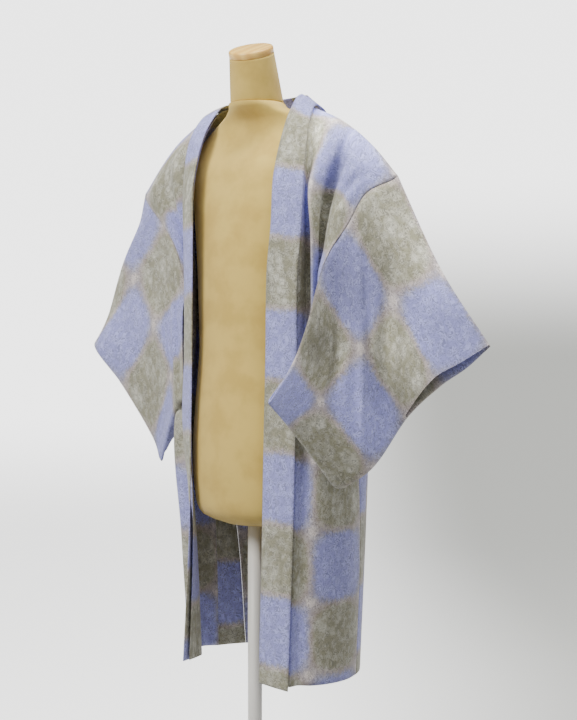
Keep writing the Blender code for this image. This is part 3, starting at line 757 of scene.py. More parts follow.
@dataclass(frozen=True)
class CheckedSilk:
    """Figured silk crepe, yuzen-dyed in blurred checks: matt, with a fine winding figure in the weave.

    Blue checks with rounded corners and grey checks melt into each other over a few centimetres, with a
    pale pinkish bloom where the dyes stop short.  The grey ones carry soft pale blossoms.
    """

    name: str = "figured_silk_crepe"
    blue: str = "#8d8fc8"
    blue_pale: str = "#a0a3da"
    grey: str = "#85836f"
    grey_pale: str = "#a19f90"
    petal: str = "#bbbaae"
    glow: str = "#b8a6a6"                 # bloom along a check's edge
    crossing: str = "#d9cfc8"             # and where four checks meet
    stray_scales: Sequence[float] = (30.0, 170.0)  # an edge's slow and quick straying, features a metre
    stray_reach: float = 0.012            # how far each takes them, metres
    cloud_scale: float = 20.0             # coming and going of the blossoms, features a metre
    mottle_scale: float = 70.0            # mottling of the dye, features a metre
    mottled: Span = Span(0.36, 0.66)      # mottling, from the deep colour to the pale
    blued: Span = Span(-0.17, 0.30)       # the waves' product, from a grey check to a blue one
    edge: float = 0.06                    # how far to the grey side the bloom lies
    edge_bloom: Span = Span(0.20, 0.0, 0.0, 0.42)  # product of the waves beside an edge, to its bloom
    cross_bloom: Span = Span(0.37, 0.06, 0.0, 0.65)  # distance from a crossing, to its bloom
    scribble_dark: float = 0.37           # how much darker the figure's lines are
    scribble_pale: float = 0.22           # how much paler the ground between them is
    scribble_mm: float = 8.5              # size of the figure's loops
    scribble_rings: float = 3.4           # lines from the lowest of the noise to the highest
    scribble_line: Span = Span(0.34, 0.06)  # distance from a line's middle, to its strength
    scribble_faint: Span = Span(0.32, 0.60, 0.55, 1.0)  # mottling, to the figure's strength
    blossom_mm: float = 52.0              # spacing of the blossoms
    blossom_rim: Span = Span(0.029, 0.016)  # metres from a blossom's middle, to its strength
    blossom_chosen: Span = Span(0.22, 0.34)  # each blossom's own number, to its strength
    blossom_cloud: Span = Span(0.34, 0.58, 0.3, 0.95)  # cloud, to the blossoms' strength
    petal_mm: float = 17.0                # size of one petal
    petal_round: Span = Span(0.62, 0.10, 0.25, 1.0)  # distance from a petal's middle, to its strength
    petal_scallop: float = 0.007          # how far the petals break up a blossom's rim, metres
    slub_mm: float = 1.2                  # crepe grain, coarser than the real 0.4 mm, so that it shows

    def make(self) -> bpy.types.Material:
        """Build the material on the cloth map.

        Returns:
            The material.
        """
        g = Graph(self.name)
        place = g.add("UVMap", {"uv_map": CLOTH_MAP}).outputs[0]
        broad, fine = (self.noise(g, place, scale, 2.0) for scale in self.stray_scales)
        across, along = self.waves(g, self.stray(g, self.stray(g, place, broad), fine))
        cloud = self.noise(g, place, self.cloud_scale, 3.0).outputs[0]
        mottle = self.noise(g, place, self.mottle_scale, 3.0).outputs[0]
        scribble = self.scribbles(g, place, mottle)
        colour = self.checks(g, across, along, mottle, self.blossoms(g, place, cloud))
        tone = g.maths("SUBTRACT", 1.0 + self.scribble_pale,
                       g.times(scribble, self.scribble_dark + self.scribble_pale))
        # painted light and shade, carried on the points of each piece, multiplies the colour
        dye = g.add("Attribute", {"attribute_name": PAINTED_LIGHT_LAYER}).outputs["Fac"]
        shade = g.blend(1.0, g.grey(tone), g.grey(dye), "MULTIPLY")
        g.surface(Base_Color=g.blend(1.0, colour, shade, "MULTIPLY"), Roughness=0.78, Specular_IOR_Level=0.25,
                  Sheen_Weight=0.2, Sheen_Roughness=0.45)
        slub = self.noise(g, place, 1000 / self.slub_mm, 1.0).outputs[0]
        g.bump(g.plus(g.times(scribble, -0.5), g.times(slub, 0.6)), 0.3, 0.0007)
        return g.material

    def checks(self, g: Graph, across: bpy.types.NodeSocket, along: bpy.types.NodeSocket,
               mottle: bpy.types.NodeSocket, blossoms: bpy.types.NodeSocket) -> bpy.types.NodeSocket:
        """Colour of the dyed checks.

        Args:
            g: the node tree.
            across: wave across the cloth.
            along: wave along the cloth.
            mottle: mottling of the printed colour.
            blossoms: strength of the blossoms.

        Returns:
            The colour.
        """
        check = g.times(across, along)
        pale = g.span(mottle, self.mottled)
        blue = g.blend(pale, linear(self.blue), linear(self.blue_pale))
        grey = g.blend(blossoms, g.blend(pale, linear(self.grey), linear(self.grey_pale)), linear(self.petal))
        colour = g.blend(g.span(check, self.blued), grey, blue)
        beside = g.maths("ABSOLUTE", g.plus(check, self.edge))
        colour = g.blend(g.span(beside, self.edge_bloom), colour, linear(self.glow))
        apart = g.maths("SQRT", g.plus(g.times(across, across), g.times(along, along)))
        return g.blend(g.span(apart, self.cross_bloom), colour, linear(self.crossing))

    def noise(self, g: Graph, place: bpy.types.NodeSocket, scale: float, detail: float) -> bpy.types.Node:
        """Flat cloudy noise with features of 1/scale metres."""
        return g.add("TexNoise", {"noise_dimensions": "2D"}, Vector=place, Scale=scale, Detail=detail)

    def stray(self, g: Graph, place: bpy.types.NodeSocket, noise: bpy.types.Node) -> bpy.types.NodeSocket:
        """Move places on the map about by a noise.

        Args:
            g: the node tree.
            place: the places.
            noise: the noise, whose mean is 0.5.

        Returns:
            The moved places.
        """
        middle = g.add("VectorMath", {"operation": "SUBTRACT"}, i0=noise.outputs["Color"], i1=(0.5, 0.5, 0.5))
        shift = g.add("VectorMath", {"operation": "SCALE"}, i0=middle.outputs[0], Scale=self.stray_reach)
        return g.add("VectorMath", {"operation": "ADD"}, i0=place, i1=shift.outputs[0]).outputs[0]

    def waves(self, g: Graph, place: bpy.types.NodeSocket) -> list[bpy.types.NodeSocket]:
        """Waves across and along the cloth; their product is above zero in a blue check."""
        axes = g.add("SeparateXYZ", i0=place)
        return [g.maths("SINE", g.times(axes.outputs[axis], math.pi / pitch))
                for axis, pitch in ((0, CHECK_WIDE), (1, CHECK_LONG))]

    def scribbles(self, g: Graph, place: bpy.types.NodeSocket,
                  mottle: bpy.types.NodeSocket) -> bpy.types.NodeSocket:
        """Winding thread-like lines, strong in some places and faint in others.

        Args:
            g: the node tree.
            place: places on the cloth map.
            mottle: mottling of the printed colour, which the lines' strength follows.

        Returns:
            The lines' strength.
        """
        field = g.add("TexNoise", {"noise_dimensions": "2D"}, Vector=place, Scale=1000 / self.scribble_mm,
                      Detail=0.5, Distortion=1.2).outputs[0]
        ring = g.maths("PINGPONG", g.times(field, self.scribble_rings), 0.5)
        return g.times(g.span(ring, self.scribble_line), g.span(mottle, self.scribble_faint))

    def blossoms(self, g: Graph, place: bpy.types.NodeSocket,
                 cloud: bpy.types.NodeSocket) -> bpy.types.NodeSocket:
        """Full blossoms of soft round petals, scattered about and half lost in the ground.

        Args:
            g: the node tree.
            place: places on the cloth map.
            cloud: broad noise, which the blossoms' strength follows.

        Returns:
            The blossoms' strength.
        """
        heads = g.add("TexVoronoi", {"voronoi_dimensions": "2D"}, Vector=place, Scale=1000 / self.blossom_mm,
                      Randomness=0.85)
        petals = g.add("TexVoronoi", {"voronoi_dimensions": "2D"}, Vector=place, Scale=1000 / self.petal_mm,
                       Randomness=0.9)
        apart = petals.outputs["Distance"]
        reach = g.plus(g.times(heads.outputs["Distance"], self.blossom_mm / 1000),
                       g.times(apart, self.petal_scallop))
        own = g.add("SeparateColor", i0=heads.outputs["Color"]).outputs[0]
        shape = g.times(g.span(reach, self.blossom_rim), g.span(apart, self.petal_round))
        return g.times(g.times(shape, g.span(own, self.blossom_chosen)), g.span(cloud, self.blossom_cloud))


@dataclass(frozen=True)
class Jersey:
    """Cotton jersey pulled over padding: dull, with fine vertical ribs of knitted stitches."""

    name: str = "beige_cotton_jersey"
    colour: str = "#dec066"
    # darker colour: for the clouding of the yarn, and for the painted shade in the knit's hollows
    shade: str = "#cdad57"
    ribs: float = 330.0                   # round the body: 2.2 mm apart, wider than the real 0.9 mm
    stitch_mm: float = 1.8
    cloudy: Span = Span(0.35, 0.7)        # cloud, from the colour to the shade
    hollow: Span = Span(-1.0, 1.0, 0.18, 0.0)  # height of the knit, to how much of the shade colour it adds: painted shade in the knit's hollows

    def make(self) -> bpy.types.Material:
        """Build the material on object coordinates.

        Returns:
            The material.
        """
        g = Graph(self.name)
        place = g.place()
        axes = g.add("SeparateXYZ", i0=place)
        rib = g.maths("SINE", g.times(g.maths("ARCTAN2", axes.outputs[1], axes.outputs[0]), self.ribs))
        stitch = g.maths("SINE", g.times(axes.outputs[2], 2 * math.pi * 1000 / self.stitch_mm))
        knit = g.times(rib, g.plus(g.times(stitch, 0.3), 0.7))
        cloud = g.add("TexNoise", Vector=place, Scale=22.0, Detail=3.0).outputs[0]
        colour = g.blend(g.span(cloud, self.cloudy), linear(self.colour), linear(self.shade))
        # painted shade: the knit's hollows darkened towards the shade colour
        colour = g.blend(g.span(knit, self.hollow), colour, linear(self.shade))
        g.surface(Base_Color=colour, Roughness=0.9, Specular_IOR_Level=0.2, Sheen_Weight=0.2)
        g.bump(knit, 0.35, 0.0004)
        return g.material


@dataclass(frozen=True)
class Beech:
    """Turned beech, sanded and oiled: pale flat-sawn grain with short dark flecks."""

    name: str = "oiled_beech"
    pale: str = "#f0c666"
    dark: str = "#dba94c"
    grain_mm: float = 7.0                 # spacing of the growth rings as they show on the cut face
    fleck_mm: float = 1.6
    sawn: Sequence[float] = (0.15, 0.1, 0.7)  # the log's turn about each axis, in radians
    flecked: Span = Span(0.6, 0.75, 0.0, 0.5)  # fleck noise, to how much of the dark it adds

    def make(self) -> bpy.types.Material:
        """Build the material on object coordinates.

        Returns:
            The material.
        """
        g = Graph(self.name)
        turned = g.add("Mapping", Vector=g.place(), Rotation=self.sawn, Scale=(1.0, 0.18, 1.0)).outputs[0]
        rings = g.add("TexWave", {"wave_type": "BANDS", "bands_direction": "X"}, Vector=turned,
                      Scale=1000 / self.grain_mm / 20 * math.pi, Distortion=5.0, Detail=2.0, Detail_Scale=1.2)
        flecks = g.add("TexNoise", Vector=turned, Scale=1000 / self.fleck_mm, Detail=2.0).outputs[0]
        colour = g.blend(rings.outputs["Fac"], linear(self.pale), linear(self.dark))
        colour = g.blend(g.span(flecks, self.flecked), colour, linear(self.dark))
        g.surface(Base_Color=colour, Roughness=0.42, Coat_Weight=0.15, Coat_Roughness=0.3)
        g.bump(flecks, 0.1, 0.0003)
        return g.material


@dataclass(frozen=True)
class PaintedSteel:
    """Sheet steel and tube, powder-coated off-white: satin, with a faint orange-peel skin."""

    name: str = "powder_coated_steel"
    colour: str = "#e4e2dc"
    peel_mm: float = 1.8
    satin: Span = Span(0.3, 0.7, 0.34, 0.46)  # cloud, to the roughness

    def make(self) -> bpy.types.Material:
        """Build the material on object coordinates.

        Returns:
            The material.
        """
        g = Graph(self.name)
        place = g.place()
        peel = g.add("TexNoise", Vector=place, Scale=1000 / self.peel_mm, Detail=1.0).outputs[0]
        cloud = g.add("TexNoise", Vector=place, Scale=9.0, Detail=2.0).outputs[0]
        g.surface(Base_Color=linear(self.colour), Roughness=g.span(cloud, self.satin, smooth=False))
        g.bump(peel, 0.12, 0.0002)
        return g.material


# ---------------------------------------------------------------- cloth pieces
class Side(Enum):
    """Which of the wearer's sides a piece is on; the value is the sign of its X."""

    LEFT = 1
    RIGHT = -1

    @property
    def word(self) -> str:
        """The side's name for use in a piece's name."""
        return self.name.lower()


def seam_point(seam: Sequence[SeamRow], drop: float) -> Vector:
    """Point on the sleeve's inner edge; below zero is the back."""
    return curve([row.point for row in seam], [row.drop for row in seam], drop)


def beside_body(place: Vector) -> Vector:
    """Direction away from the middle of the wearer's body."""
    return Vector((place.x, place.y - BODY_MIDDLE, 0.0))


@dataclass
class BodyPanel:
    """One length of cloth from the back hem over the shoulder to the front hem."""

    side: Side
    table: Sequence[PanelRow]
    seam: Sequence[SeamRow]
    lay: Lay
    creases: Sequence[Fold]
    front_lines: Sequence[float]   # across measure of each front line, inner edge to side edge
    back_lines: Sequence[float] = (0.0, 0.047, 0.096, 0.146, 0.196, 0.245, 0.290)
    pulls: Sequence[Pull] = ()
    # patches of painted light and shade
    tones: Sequence[Tone] = ()
    rows: int = 300
    columns: int = 60
    stations: Sequence[float] = ()

    def __post_init__(self) -> None:
        """Measure the table along its crest line."""
        self.stations = spread([row.crest for row in self.table])

    def side_at(self, station: float) -> Vector:
        """Point on the side edge.

        Args:
            station: distance along the crest line, from the back hem.

        Returns:
            The point: on the armhole seam between two rows that lie there, else on the edge's own curve.
        """
        index = 0
        while index < len(self.table) - 2 and station > self.stations[index + 1]:
            index += 1
        start, end = (self.table[k].side for k in (index, index + 1))
        if isinstance(start, float) and isinstance(end, float):
            part = (station - self.stations[index]) / (self.stations[index + 1] - self.stations[index])
            return seam_point(self.seam, start + (end - start) * part)
        placed = [seam_point(self.seam, row.side) if isinstance(row.side, float) else Vector(row.side)
                  for row in self.table]
        return curve(placed, self.stations, station)

    def named(self, name: str) -> float:
        """Station of a named row."""
        return self.stations[[row.name for row in self.table].index(name)]

    def sheet(self) -> Sheet:
        """Fill the panel's sheet.

        Returns:
            The sheet with its folds, its map measured from the panel's own corner.
        """
        made = Sheet(self.rows, self.columns)
        lines = [[getattr(row, field) for row in self.table] for field in PanelRow._fields[1:-1]]
        length = self.stations[-1]
        turn_start, turn_end = self.named("back neck"), self.named("front yoke")
        for row, fraction in enumerate(even(self.rows)):
            station = fraction * length
            chain = [curve(line, self.stations, station) for line in lines] + [self.side_at(station)]
            chain[0].x = self.side.value * max(self.side.value * chain[0].x, SEAM_GAP)
            widths = spread(chain)
            front = min(max((station - turn_start) / (turn_end - turn_start), 0.0), 1.0)
            measures = [b + (f - b) * front for b, f in zip(self.back_lines, self.front_lines)]
            for column, step in enumerate(even(self.columns)):
                across = step * PANEL_WIDTH
                point = curve(chain, widths, ramp(measures, widths, across))
                made.put(row, column, point, across, length - station)
        made.fold(self.creases, -self.side.value)
        return made

    def build(self, finish: bpy.types.Material) -> bpy.types.Object:
        """Make the panel.

        Args:
            finish: the silk.

        Returns:
            The piece.
        """
        made = self.sheet()
        made.tone(self.tones)
        for pull in self.pulls:
            made.remap(pull.moved)
        made.cut_from(self.lay)
        piece = finish_piece(made.mesh(), f"{self.side.word}_panel_cloth", finish, beside_body)
        wall(piece, SILK)
        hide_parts(f"body_{self.side.word}")
        return piece


@dataclass
class Gusset:
    """Narrow strip between the front and back panels, from the hem to the underarm."""

    panel: BodyPanel
    lay: Lay = Lay(0.05, -0.0366)
    width: float = 0.055
    length: float = 0.68
    reach: float = 0.985               # part of the way from the hem to the underarm that it fills
    bow: float = 0.002                 # how far its middle stands out
    rows: int = 120
    columns: int = 9

    def build(self, finish: bpy.types.Material) -> bpy.types.Object:
        """Make the strip.

        Args:
            finish: the silk.

        Returns:
            The piece.
        """
        word = self.panel.side.word
        made = Sheet(self.rows, self.columns)
        hem, front_top = self.panel.stations[-1], self.panel.named("front underarm")
        back_top = self.panel.named("back underarm")
        outward = Vector((self.panel.side.value * 0.8, 0.6, 0.0)) * self.bow
        for row, fraction in enumerate(even(self.rows)):
            part = fraction * self.reach
            start = self.panel.side_at(hem + (front_top - hem) * part)
            end = self.panel.side_at(back_top * part)
            inset = (end - start).normalized() * SEAM_INSET
            for column, step in enumerate(even(self.columns)):
                point = (start + inset).lerp(end - inset, step) + outward * math.sin(math.pi * step)
                made.put(row, column, point, step * self.width, (hem - front_top) * part)
        made.cut_from(self.lay)
        piece = finish_piece(made.mesh(), f"{word}_gusset_cloth", finish, beside_body)
        wall(piece, SILK)
        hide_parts(f"gusset_{word}")
        return piece


@dataclass
class Sleeve:
    """A folded length of cloth, sewn along its bottom and along its outer edge below the cuff."""

    side: Side
    table: Sequence[SleeveRow]
    seam: Sequence[SeamRow]
    lay: Lay
    creases: Sequence[Fold]
    # patches of painted light and shade
    tones: Sequence[Tone] = ()
    upper: int = 44                    # rows from the shoulder fold to the end of the armhole seam
    lower: int = 36                    # rows from there to the bottom edge
    columns: int = 64
    crowd_rows: float = 1.5            # how closely the rows crowd towards the fold, above 1
    crowd_columns: float = 0.9         # how evenly the columns stand towards the armhole

    def chain(self, place: float) -> list[Vector]:
        """Points across one layer.

        Args:
            place: distance from the shoulder fold, below zero on the back layer.

        Returns:
            The points on the inner edge, the middle line and the cuff line.
        """
        stations = [row.drop for row in self.table]
        points = [seam_point(self.seam, place)]
        for field in ("back_middle", "back_cuff") if place < 0 else ("middle", "cuff"):
            points.append(curve([getattr(row, field) for row in self.table], stations, abs(place)))
        return points

    def lowest(self, across: float) -> float:
        """How far down the cloth reaches.

        Args:
            across: distance from the armhole seam.

        Returns:
            The distance from the shoulder fold to the bottom edge, with its rounded corner.
        """
        past = across - (SLEEVE_WIDTH - CORNER_RADIUS)
        if past <= 0:
            return SLEEVE_DROP
        return SLEEVE_DROP - CORNER_RADIUS + math.sqrt(max(CORNER_RADIUS ** 2 - past ** 2, 0.0))

    def drops(self, across: float) -> list[float]:
        """Places down one line of the sleeve.

        Args:
            across: the line's distance from the armhole seam.

        Returns:
            Distances from the shoulder fold, closest near it.
        """
        top = [ARMHOLE * fraction ** self.crowd_rows for fraction in even(self.upper)]
        low = self.lowest(across)
        return top + [ARMHOLE + (low - ARMHOLE) * fraction for fraction in even(self.lower + 1)[1:]]

    def sheet(self) -> Sheet:
        """Fill the sleeve's sheet as one strip round its shoulder fold.

        Returns:
            The sheet with its folds, its map measured from the fold at the armhole.
        """
        made = Sheet(2 * (self.upper + self.lower) - 1, self.columns)
        for column, step in enumerate(even(self.columns)):
            reach = math.sin(step * math.pi / 2) ** self.crowd_columns
            across = SEAM_INSET + (SLEEVE_WIDTH - SEAM_INSET) * reach
            line = self.drops(across)
            for row, place in enumerate(line[::-1] + [-drop for drop in line[1:]]):
                points = self.chain(place)
                widths = spread(points)
                station = ramp([0.0, SLEEVE_WIDTH / 2, SLEEVE_WIDTH], widths, across)
                made.put(row, column, curve(points, widths, station), across, place)
        made.tone(self.tones)
        made.fold(self.creases, self.side.value)
        return made

    def close(self, made: Sheet) -> None:
        """Bring the two layers together along the bottom and along the closed part of the outer edge.

        Args:
            made: the sleeve's sheet.
        """
        last, outer = made.rows - 1, made.columns - 1
        for row, column in [(0, k) for k in range(made.columns)] + [(k, outer) for k in range(self.lower)]:
            middle = made.points[row][column].lerp(made.points[last - row][column], 0.5)
            made.points[row][column] = middle
            made.points[last - row][column] = middle.copy()

    def build(self, finish: bpy.types.Material) -> bpy.types.Object:
        """Make the sleeve and close its edges.

        Args:
            finish: the silk.

        Returns:
            The piece.
        """
        made = self.sheet()
        self.close(made)
        made.remap(lambda across, along: (across * CHECK_SPREAD, abs(along)))
        made.cut_from(self.lay)
        bm = made.mesh()
        if self.side is Side.RIGHT:
            bmesh.ops.reverse_faces(bm, faces=bm.faces)
        bmesh.ops.remove_doubles(bm, verts=bm.verts, dist=SEWN)
        piece = finish_piece(bm, f"{self.side.word}_sleeve_cloth", finish)
        wall(piece, SILK)
        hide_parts(f"sleeve_{self.side.word}")
        f"{self.side.word}_panel_cloth"
        return piece


@dataclass
class Collar:
    """Half of the doubled collar strip, from the centre back round the neck to the hem."""

    side: Side
    table: Sequence[CollarRow]
    lay: Lay
    rows: int = 260
    columns: int = 12
    crown: float = 0.0016              # how far the folded strip swells between its edges
    shoulders: float = 0.62            # reach of the swell from the middle, as part of the width

    def build(self, finish: bpy.types.Material) -> bpy.types.Object:
        """Make the strip.

        Args:
            finish: the silk.

        Returns:
            The piece.
        """
        made = Sheet(self.rows, self.columns)
        lines = [[row.inner for row in self.table], [row.outer for row in self.table]]
        stations = spread(lines[0])
        length = stations[-1]
        for row, fraction in enumerate(even(self.rows)):
            station = SEAM_GAP + fraction * (length - SEAM_GAP)
            inner, outer = (curve(line, stations, station) for line in lines)
            for column, step in enumerate(even(self.columns)):
                made.put(row, column, inner.lerp(outer, step), step * COLLAR_WIDTH, length - station)
        middle, past = COLLAR_WIDTH / 2, 0.5
        swell = Crease([(middle, -past), (middle, length + past)], self.crown, COLLAR_WIDTH * self.shoulders)
        made.fold([swell], -self.side.value)
        made.cut_from(self.lay)
        piece = finish_piece(made.mesh(), f"{self.side.word}_collar_cloth", finish, beside_body)
        wall(piece, BAND)
        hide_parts(f"collar_{self.side.word}")
        f"{self.side.word}_panel_cloth"
        return piece


# ---------------------------------------------------------------- dress form
def disc(radius: float, height: float, foot: float, crown: float, corner: float) -> list[Place]:
    """Outline of a disc with an eased foot and a rounded upper edge.

    Args:
        radius: from the axis to the rim.
        height: from the underside to the top.
        foot: bevel of the lower edge.
        crown: how far in and down the upper edge's rounding starts.
        corner: how far in and down its middle lies.

    Returns:
        The outline's (radius, height) points, from the axis to the axis.
    """
    return [(0.0, 0.0), (radius - foot, 0.0), (radius, foot), (radius, height - crown),
            (radius - corner, height - corner), (radius - crown, height), (0.0, height)]


@dataclass
class DressForm:
    """Padded torso with its neck and cap, on a pole and a round base."""

    neck_radius: float = 0.047
    neck_foot: Point = (0.0, 0.006, 1.3625)
    neck_head: Point = (0.008, -0.019, 1.444)
    neck_axis: Point = (0.95, 0.30, 0.0)
    neck_tilt: float = math.radians(24.0)
    cap_radius: float = 0.0395
    cap_height: float = 0.012
    pole_radius: float = 0.0125
    base_radius: float = 0.165
    base_height: float = 0.016
    gap: float = 0.0005                # between two pieces that rest on each other
    segments: int = 96
    levels: int = 90
    neck_levels: int = 24

    def ring(self, bm: bmesh.types.BMesh, points: Sequence[Vector]) -> list[bmesh.types.BMEdge]:
        """Add one closed ring.

        Args:
            bm: the mesh that it is added to.
            points: the ring's points, in order.

        Returns:
            The ring's edges.
        """
        made = bmesh.ops.create_circle(bm, cap_ends=False, radius=1.0, segments=len(points))
        verts = sorted(made["verts"], key=lambda vert: math.atan2(vert.co.y, vert.co.x) % (2 * math.pi))
        for vert, point in zip(verts, points):
            vert.co = point
        return list({edge for vert in verts for edge in vert.link_edges})

    def skin(self, rings: Sequence[Sequence[Vector]]) -> bmesh.types.BMesh:
        """Join rings, one above the other, and close both ends.

        Args:
            rings: each ring's points.

        Returns:
            The closed mesh.
        """
        bm = bmesh.new()
        loops = [self.ring(bm, ring) for ring in rings]
        for low, high in zip(loops, loops[1:]):
            bmesh.ops.bridge_loops(bm, edges=low + high)
        bmesh.ops.remove_doubles(bm, verts=bm.verts, dist=SAME)
        bmesh.ops.holes_fill(bm, edges=[edge for edge in bm.edges if edge.is_boundary], sides=0)
        bmesh.ops.recalc_face_normals(bm, faces=bm.faces)
        return bm

    def torso(self, finish: bpy.types.Material) -> bpy.types.Object:
        """Make the torso from level ellipses.

        Args:
            finish: the jersey.

        Returns:
            The piece.
        """
        stations = [row.z for row in FORM]
        rings = []
        for fraction in even(self.levels):
            z = stations[0] + fraction * (stations[-1] - stations[0])
            wide, deep, centre = (channel([getattr(row, field) for row in FORM], stations, z)
                                  for field in ("half_width", "half_depth", "centre_y"))
            rings.append([Vector((wide * x, centre + deep * y, z)) for x, y in turns(self.segments)])
        piece = finish_piece(self.skin(rings), "padded_torso", finish)
        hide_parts("form_torso")
        return piece

    def tilt(self, step: float = 1.0) -> Quaternion:
        """Turn of the neck at a part of its height."""
        return Quaternion(Vector(self.neck_axis).normalized(), self.neck_tilt * step)

    def neck(self, finish: bpy.types.Material) -> bpy.types.Object:
        """Make the neck, which leans forwards from a level foot to a tilted top.

        Args:
            finish: the jersey.

        Returns:
            The piece.
        """
        rings = []
        for step in even(self.neck_levels):
            centre = Vector(self.neck_foot).lerp(Vector(self.neck_head), step)
            radius = self.neck_radius + (self.cap_radius - self.neck_radius) * step
            turn = self.tilt(step)
            rings.append([centre + turn @ (Vector((x, y, 0.0)) * radius) for x, y in turns(self.segments)])
        piece = finish_piece(self.skin(rings), "jersey_neck", finish)
        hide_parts("form_neck")
        return piece

    def cap(self, finish: bpy.types.Material) -> bpy.types.Object:
        """Make the turned cap, square on the neck's tilted top.

        Args:
            finish: the wood.

        Returns:
            The piece.
        """
        outline = disc(self.cap_radius, self.cap_height, foot=0.0008, crown=0.003, corner=0.001)
        bm = spun(outline, self.segments)
        turn = self.tilt()
        bmesh.ops.rotate(bm, verts=bm.verts, cent=(0, 0, 0), matrix=turn.to_matrix())
        bmesh.ops.translate(bm, verts=bm.verts, vec=Vector(self.neck_head) + turn @ Vector((0, 0, self.gap)))
        piece = finish_piece(bm, "turned_cap", finish)
        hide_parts("form_cap")
        return piece

    def stand(self, finish: bpy.types.Material) -> None:
        """Make the pole and the base.

        Args:
            finish: the painted steel.
        """
        low, high = self.base_height + self.gap, FORM[0].z - self.gap
        outline = [(0.0, low), (self.pole_radius, low), (self.pole_radius, high), (0.0, high)]
        pole = finish_piece(spun(outline, self.segments), "steel_pole", finish)
        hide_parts("stand_pole")
        outline = disc(self.base_radius, self.base_height, foot=0.002, crown=0.004, corner=0.0012)
        base = finish_piece(spun(outline, self.segments), "steel_base", finish)
        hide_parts("stand_base")


# ---------------------------------------------------------------- studio
class LampRow(NamedTuple):
    """One soft square light: its place from the camera's side, its own side in metres and its power."""

    name: str
    right: float
    near: float
    up: float
    size: float
    watts: float
    colour: str


LAMPS = (
    LampRow("key", -2.0, 1.9, 3.1, 1.2, 115.0, "#fffdf8"),
    LampRow("top", 0.5, 0.4, 3.8, 1.4, 110.0, "#fffefb"),
)


@dataclass
class Studio:
    """Pale floor that curves up into a glowing backdrop all round, darkened by painted shade, with soft
    lights and the camera.
    """

    turn: float = math.radians(38.0)             # camera's place round the wearer, from straight in front
    distance: float = 2.80                       # its level distance from the origin
    height: float = 0.913                        # its height above the floor
    sideways: float = 0.0588                     # how far right of the origin the camera looks
    lens: float = 79.8                           # focal length in millimetres
    sensor: float = 36.0                         # longer side of the picture at the sensor, millimetres
    farthest: float = 100.0
    aim: Point = (0.0, 0.0, 1.0)                 # what the lamps look at
    floor_radius: float = 9.0
    rim_radius: float = 4.0                      # radius of the curve up into the backdrop
    rim_turn: float = math.radians(86.4)         # how far that curve turns
    rim_steps: int = 12
    segments: int = 96
    # paper colour, from the pale to the darker one of the painted shade
    pale: str = "#f4f5f6"
    dark: str = "#c3c4c1"
    glow: float = 2.8                            # painted glow: light that the backdrop paper gives off itself
    glow_pale: str = "#ffffff"
    glow_dark: str = "#60615e"
    dark_side: Span = Span(-0.9, 1.1)            # metres to the camera's right, to the painted shade
    dark_height: Span = Span(2.3, 0.9)           # metres up, to the painted shade
    dark_floor: Span = Span(0.6, 0.0, 0.0, 0.45)  # metres up, to the painted shade near the floor
    sky_colour: str = "#f2f1f0"
    sky_strength: float = 0.60

    def across(self) -> Vector:
        """Direction to the camera's right."""
        return Vector((math.cos(self.turn), math.sin(self.turn), 0.0))

    def spot(self, right: float, near: float, up: float) -> Vector:
        """Place given as metres to the camera's right, towards it and up."""
        towards = Vector((math.sin(self.turn), -math.cos(self.turn), 0.0))
        return self.across() * right + towards * near + Vector((0.0, 0.0, up))

    def camera(self) -> None:
        """Make the scene's camera."""
        data = bpy.data.cameras.new("camera")
        data.lens = self.lens
        data.sensor_width = self.sensor
        data.clip_end = self.farthest
        camera = bpy.data.objects.new("camera", data)
        camera.location = self.spot(self.sideways, self.distance, self.height)
        camera.rotation_euler = (math.pi / 2, 0.0, self.turn)
        bpy.context.scene.collection.objects.link(camera)
        bpy.context.scene.camera = camera

    def paper(self) -> bpy.types.Material:
        """Make the backdrop paper's glowing material, with painted shade that makes it darker low down and to
        the camera's right.

        Returns:
            The material.
        """
        g = Graph("graded_backdrop")
        place = g.place()
        up = g.add("SeparateXYZ", i0=place).outputs[2]
        across = g.add("VectorMath", {"operation": "DOT_PRODUCT"}, i0=place,
                       i1=tuple(self.across())).outputs["Value"]
        # painted shade: darker to the camera's right low down, and near the floor
        beside = g.times(g.span(across, self.dark_side), g.span(up, self.dark_height))
        shade = g.maths("MAXIMUM", beside, g.span(up, self.dark_floor))
        g.surface(Base_Color=g.blend(shade, linear(self.pale), linear(self.dark)),
                  Emission_Color=g.blend(shade, linear(self.glow_pale), linear(self.glow_dark)),
                  Emission_Strength=self.glow, Roughness=0.95, Specular_IOR_Level=0.1)
        return g.material

    def floor(self) -> None:
        """Make the dish-shaped floor."""
        flat = self.floor_radius - self.rim_radius
        outline = [(0.0, 0.0)]
        for step in even(self.rim_steps + 1):
            out, up = math.sin(step * self.rim_turn), 1 - math.cos(step * self.rim_turn)
            outline.append((flat + self.rim_radius * out, self.rim_radius * up))
        bm = spun(outline, self.segments)
        mesh = bpy.data.meshes.new("floor")
        bm.to_mesh(mesh)
        bm.free()
        mesh.shade_smooth()
        mesh.materials.append(self.paper())
        piece = bpy.data.objects.new("floor", mesh)
        piece.visible_diffuse = False
        bpy.context.scene.collection.objects.link(piece)

    def lights(self) -> None:
        """Make the sky and the lamps."""
        world = bpy.data.worlds.new("soft_sky")
        world.use_nodes = True
        sky = world.node_tree.nodes["Background"]
        sky.inputs["Color"].default_value = linear(self.sky_colour)
        sky.inputs["Strength"].default_value = self.sky_strength
        bpy.context.scene.world = world
        for lamp in LAMPS:
            data = bpy.data.lights.new(lamp.name, "AREA")
            data.shape = "SQUARE"
            data.size = lamp.size
            data.energy = lamp.watts
            data.color = linear(lamp.colour)[:3]
            light = bpy.data.objects.new(lamp.name, data)
            light.location = self.spot(lamp.right, lamp.near, lamp.up)
            light.rotation_euler = (Vector(self.aim) - light.location).to_track_quat("-Z", "Y").to_euler()
            light.visible_camera = False
            bpy.context.scene.collection.objects.link(light)
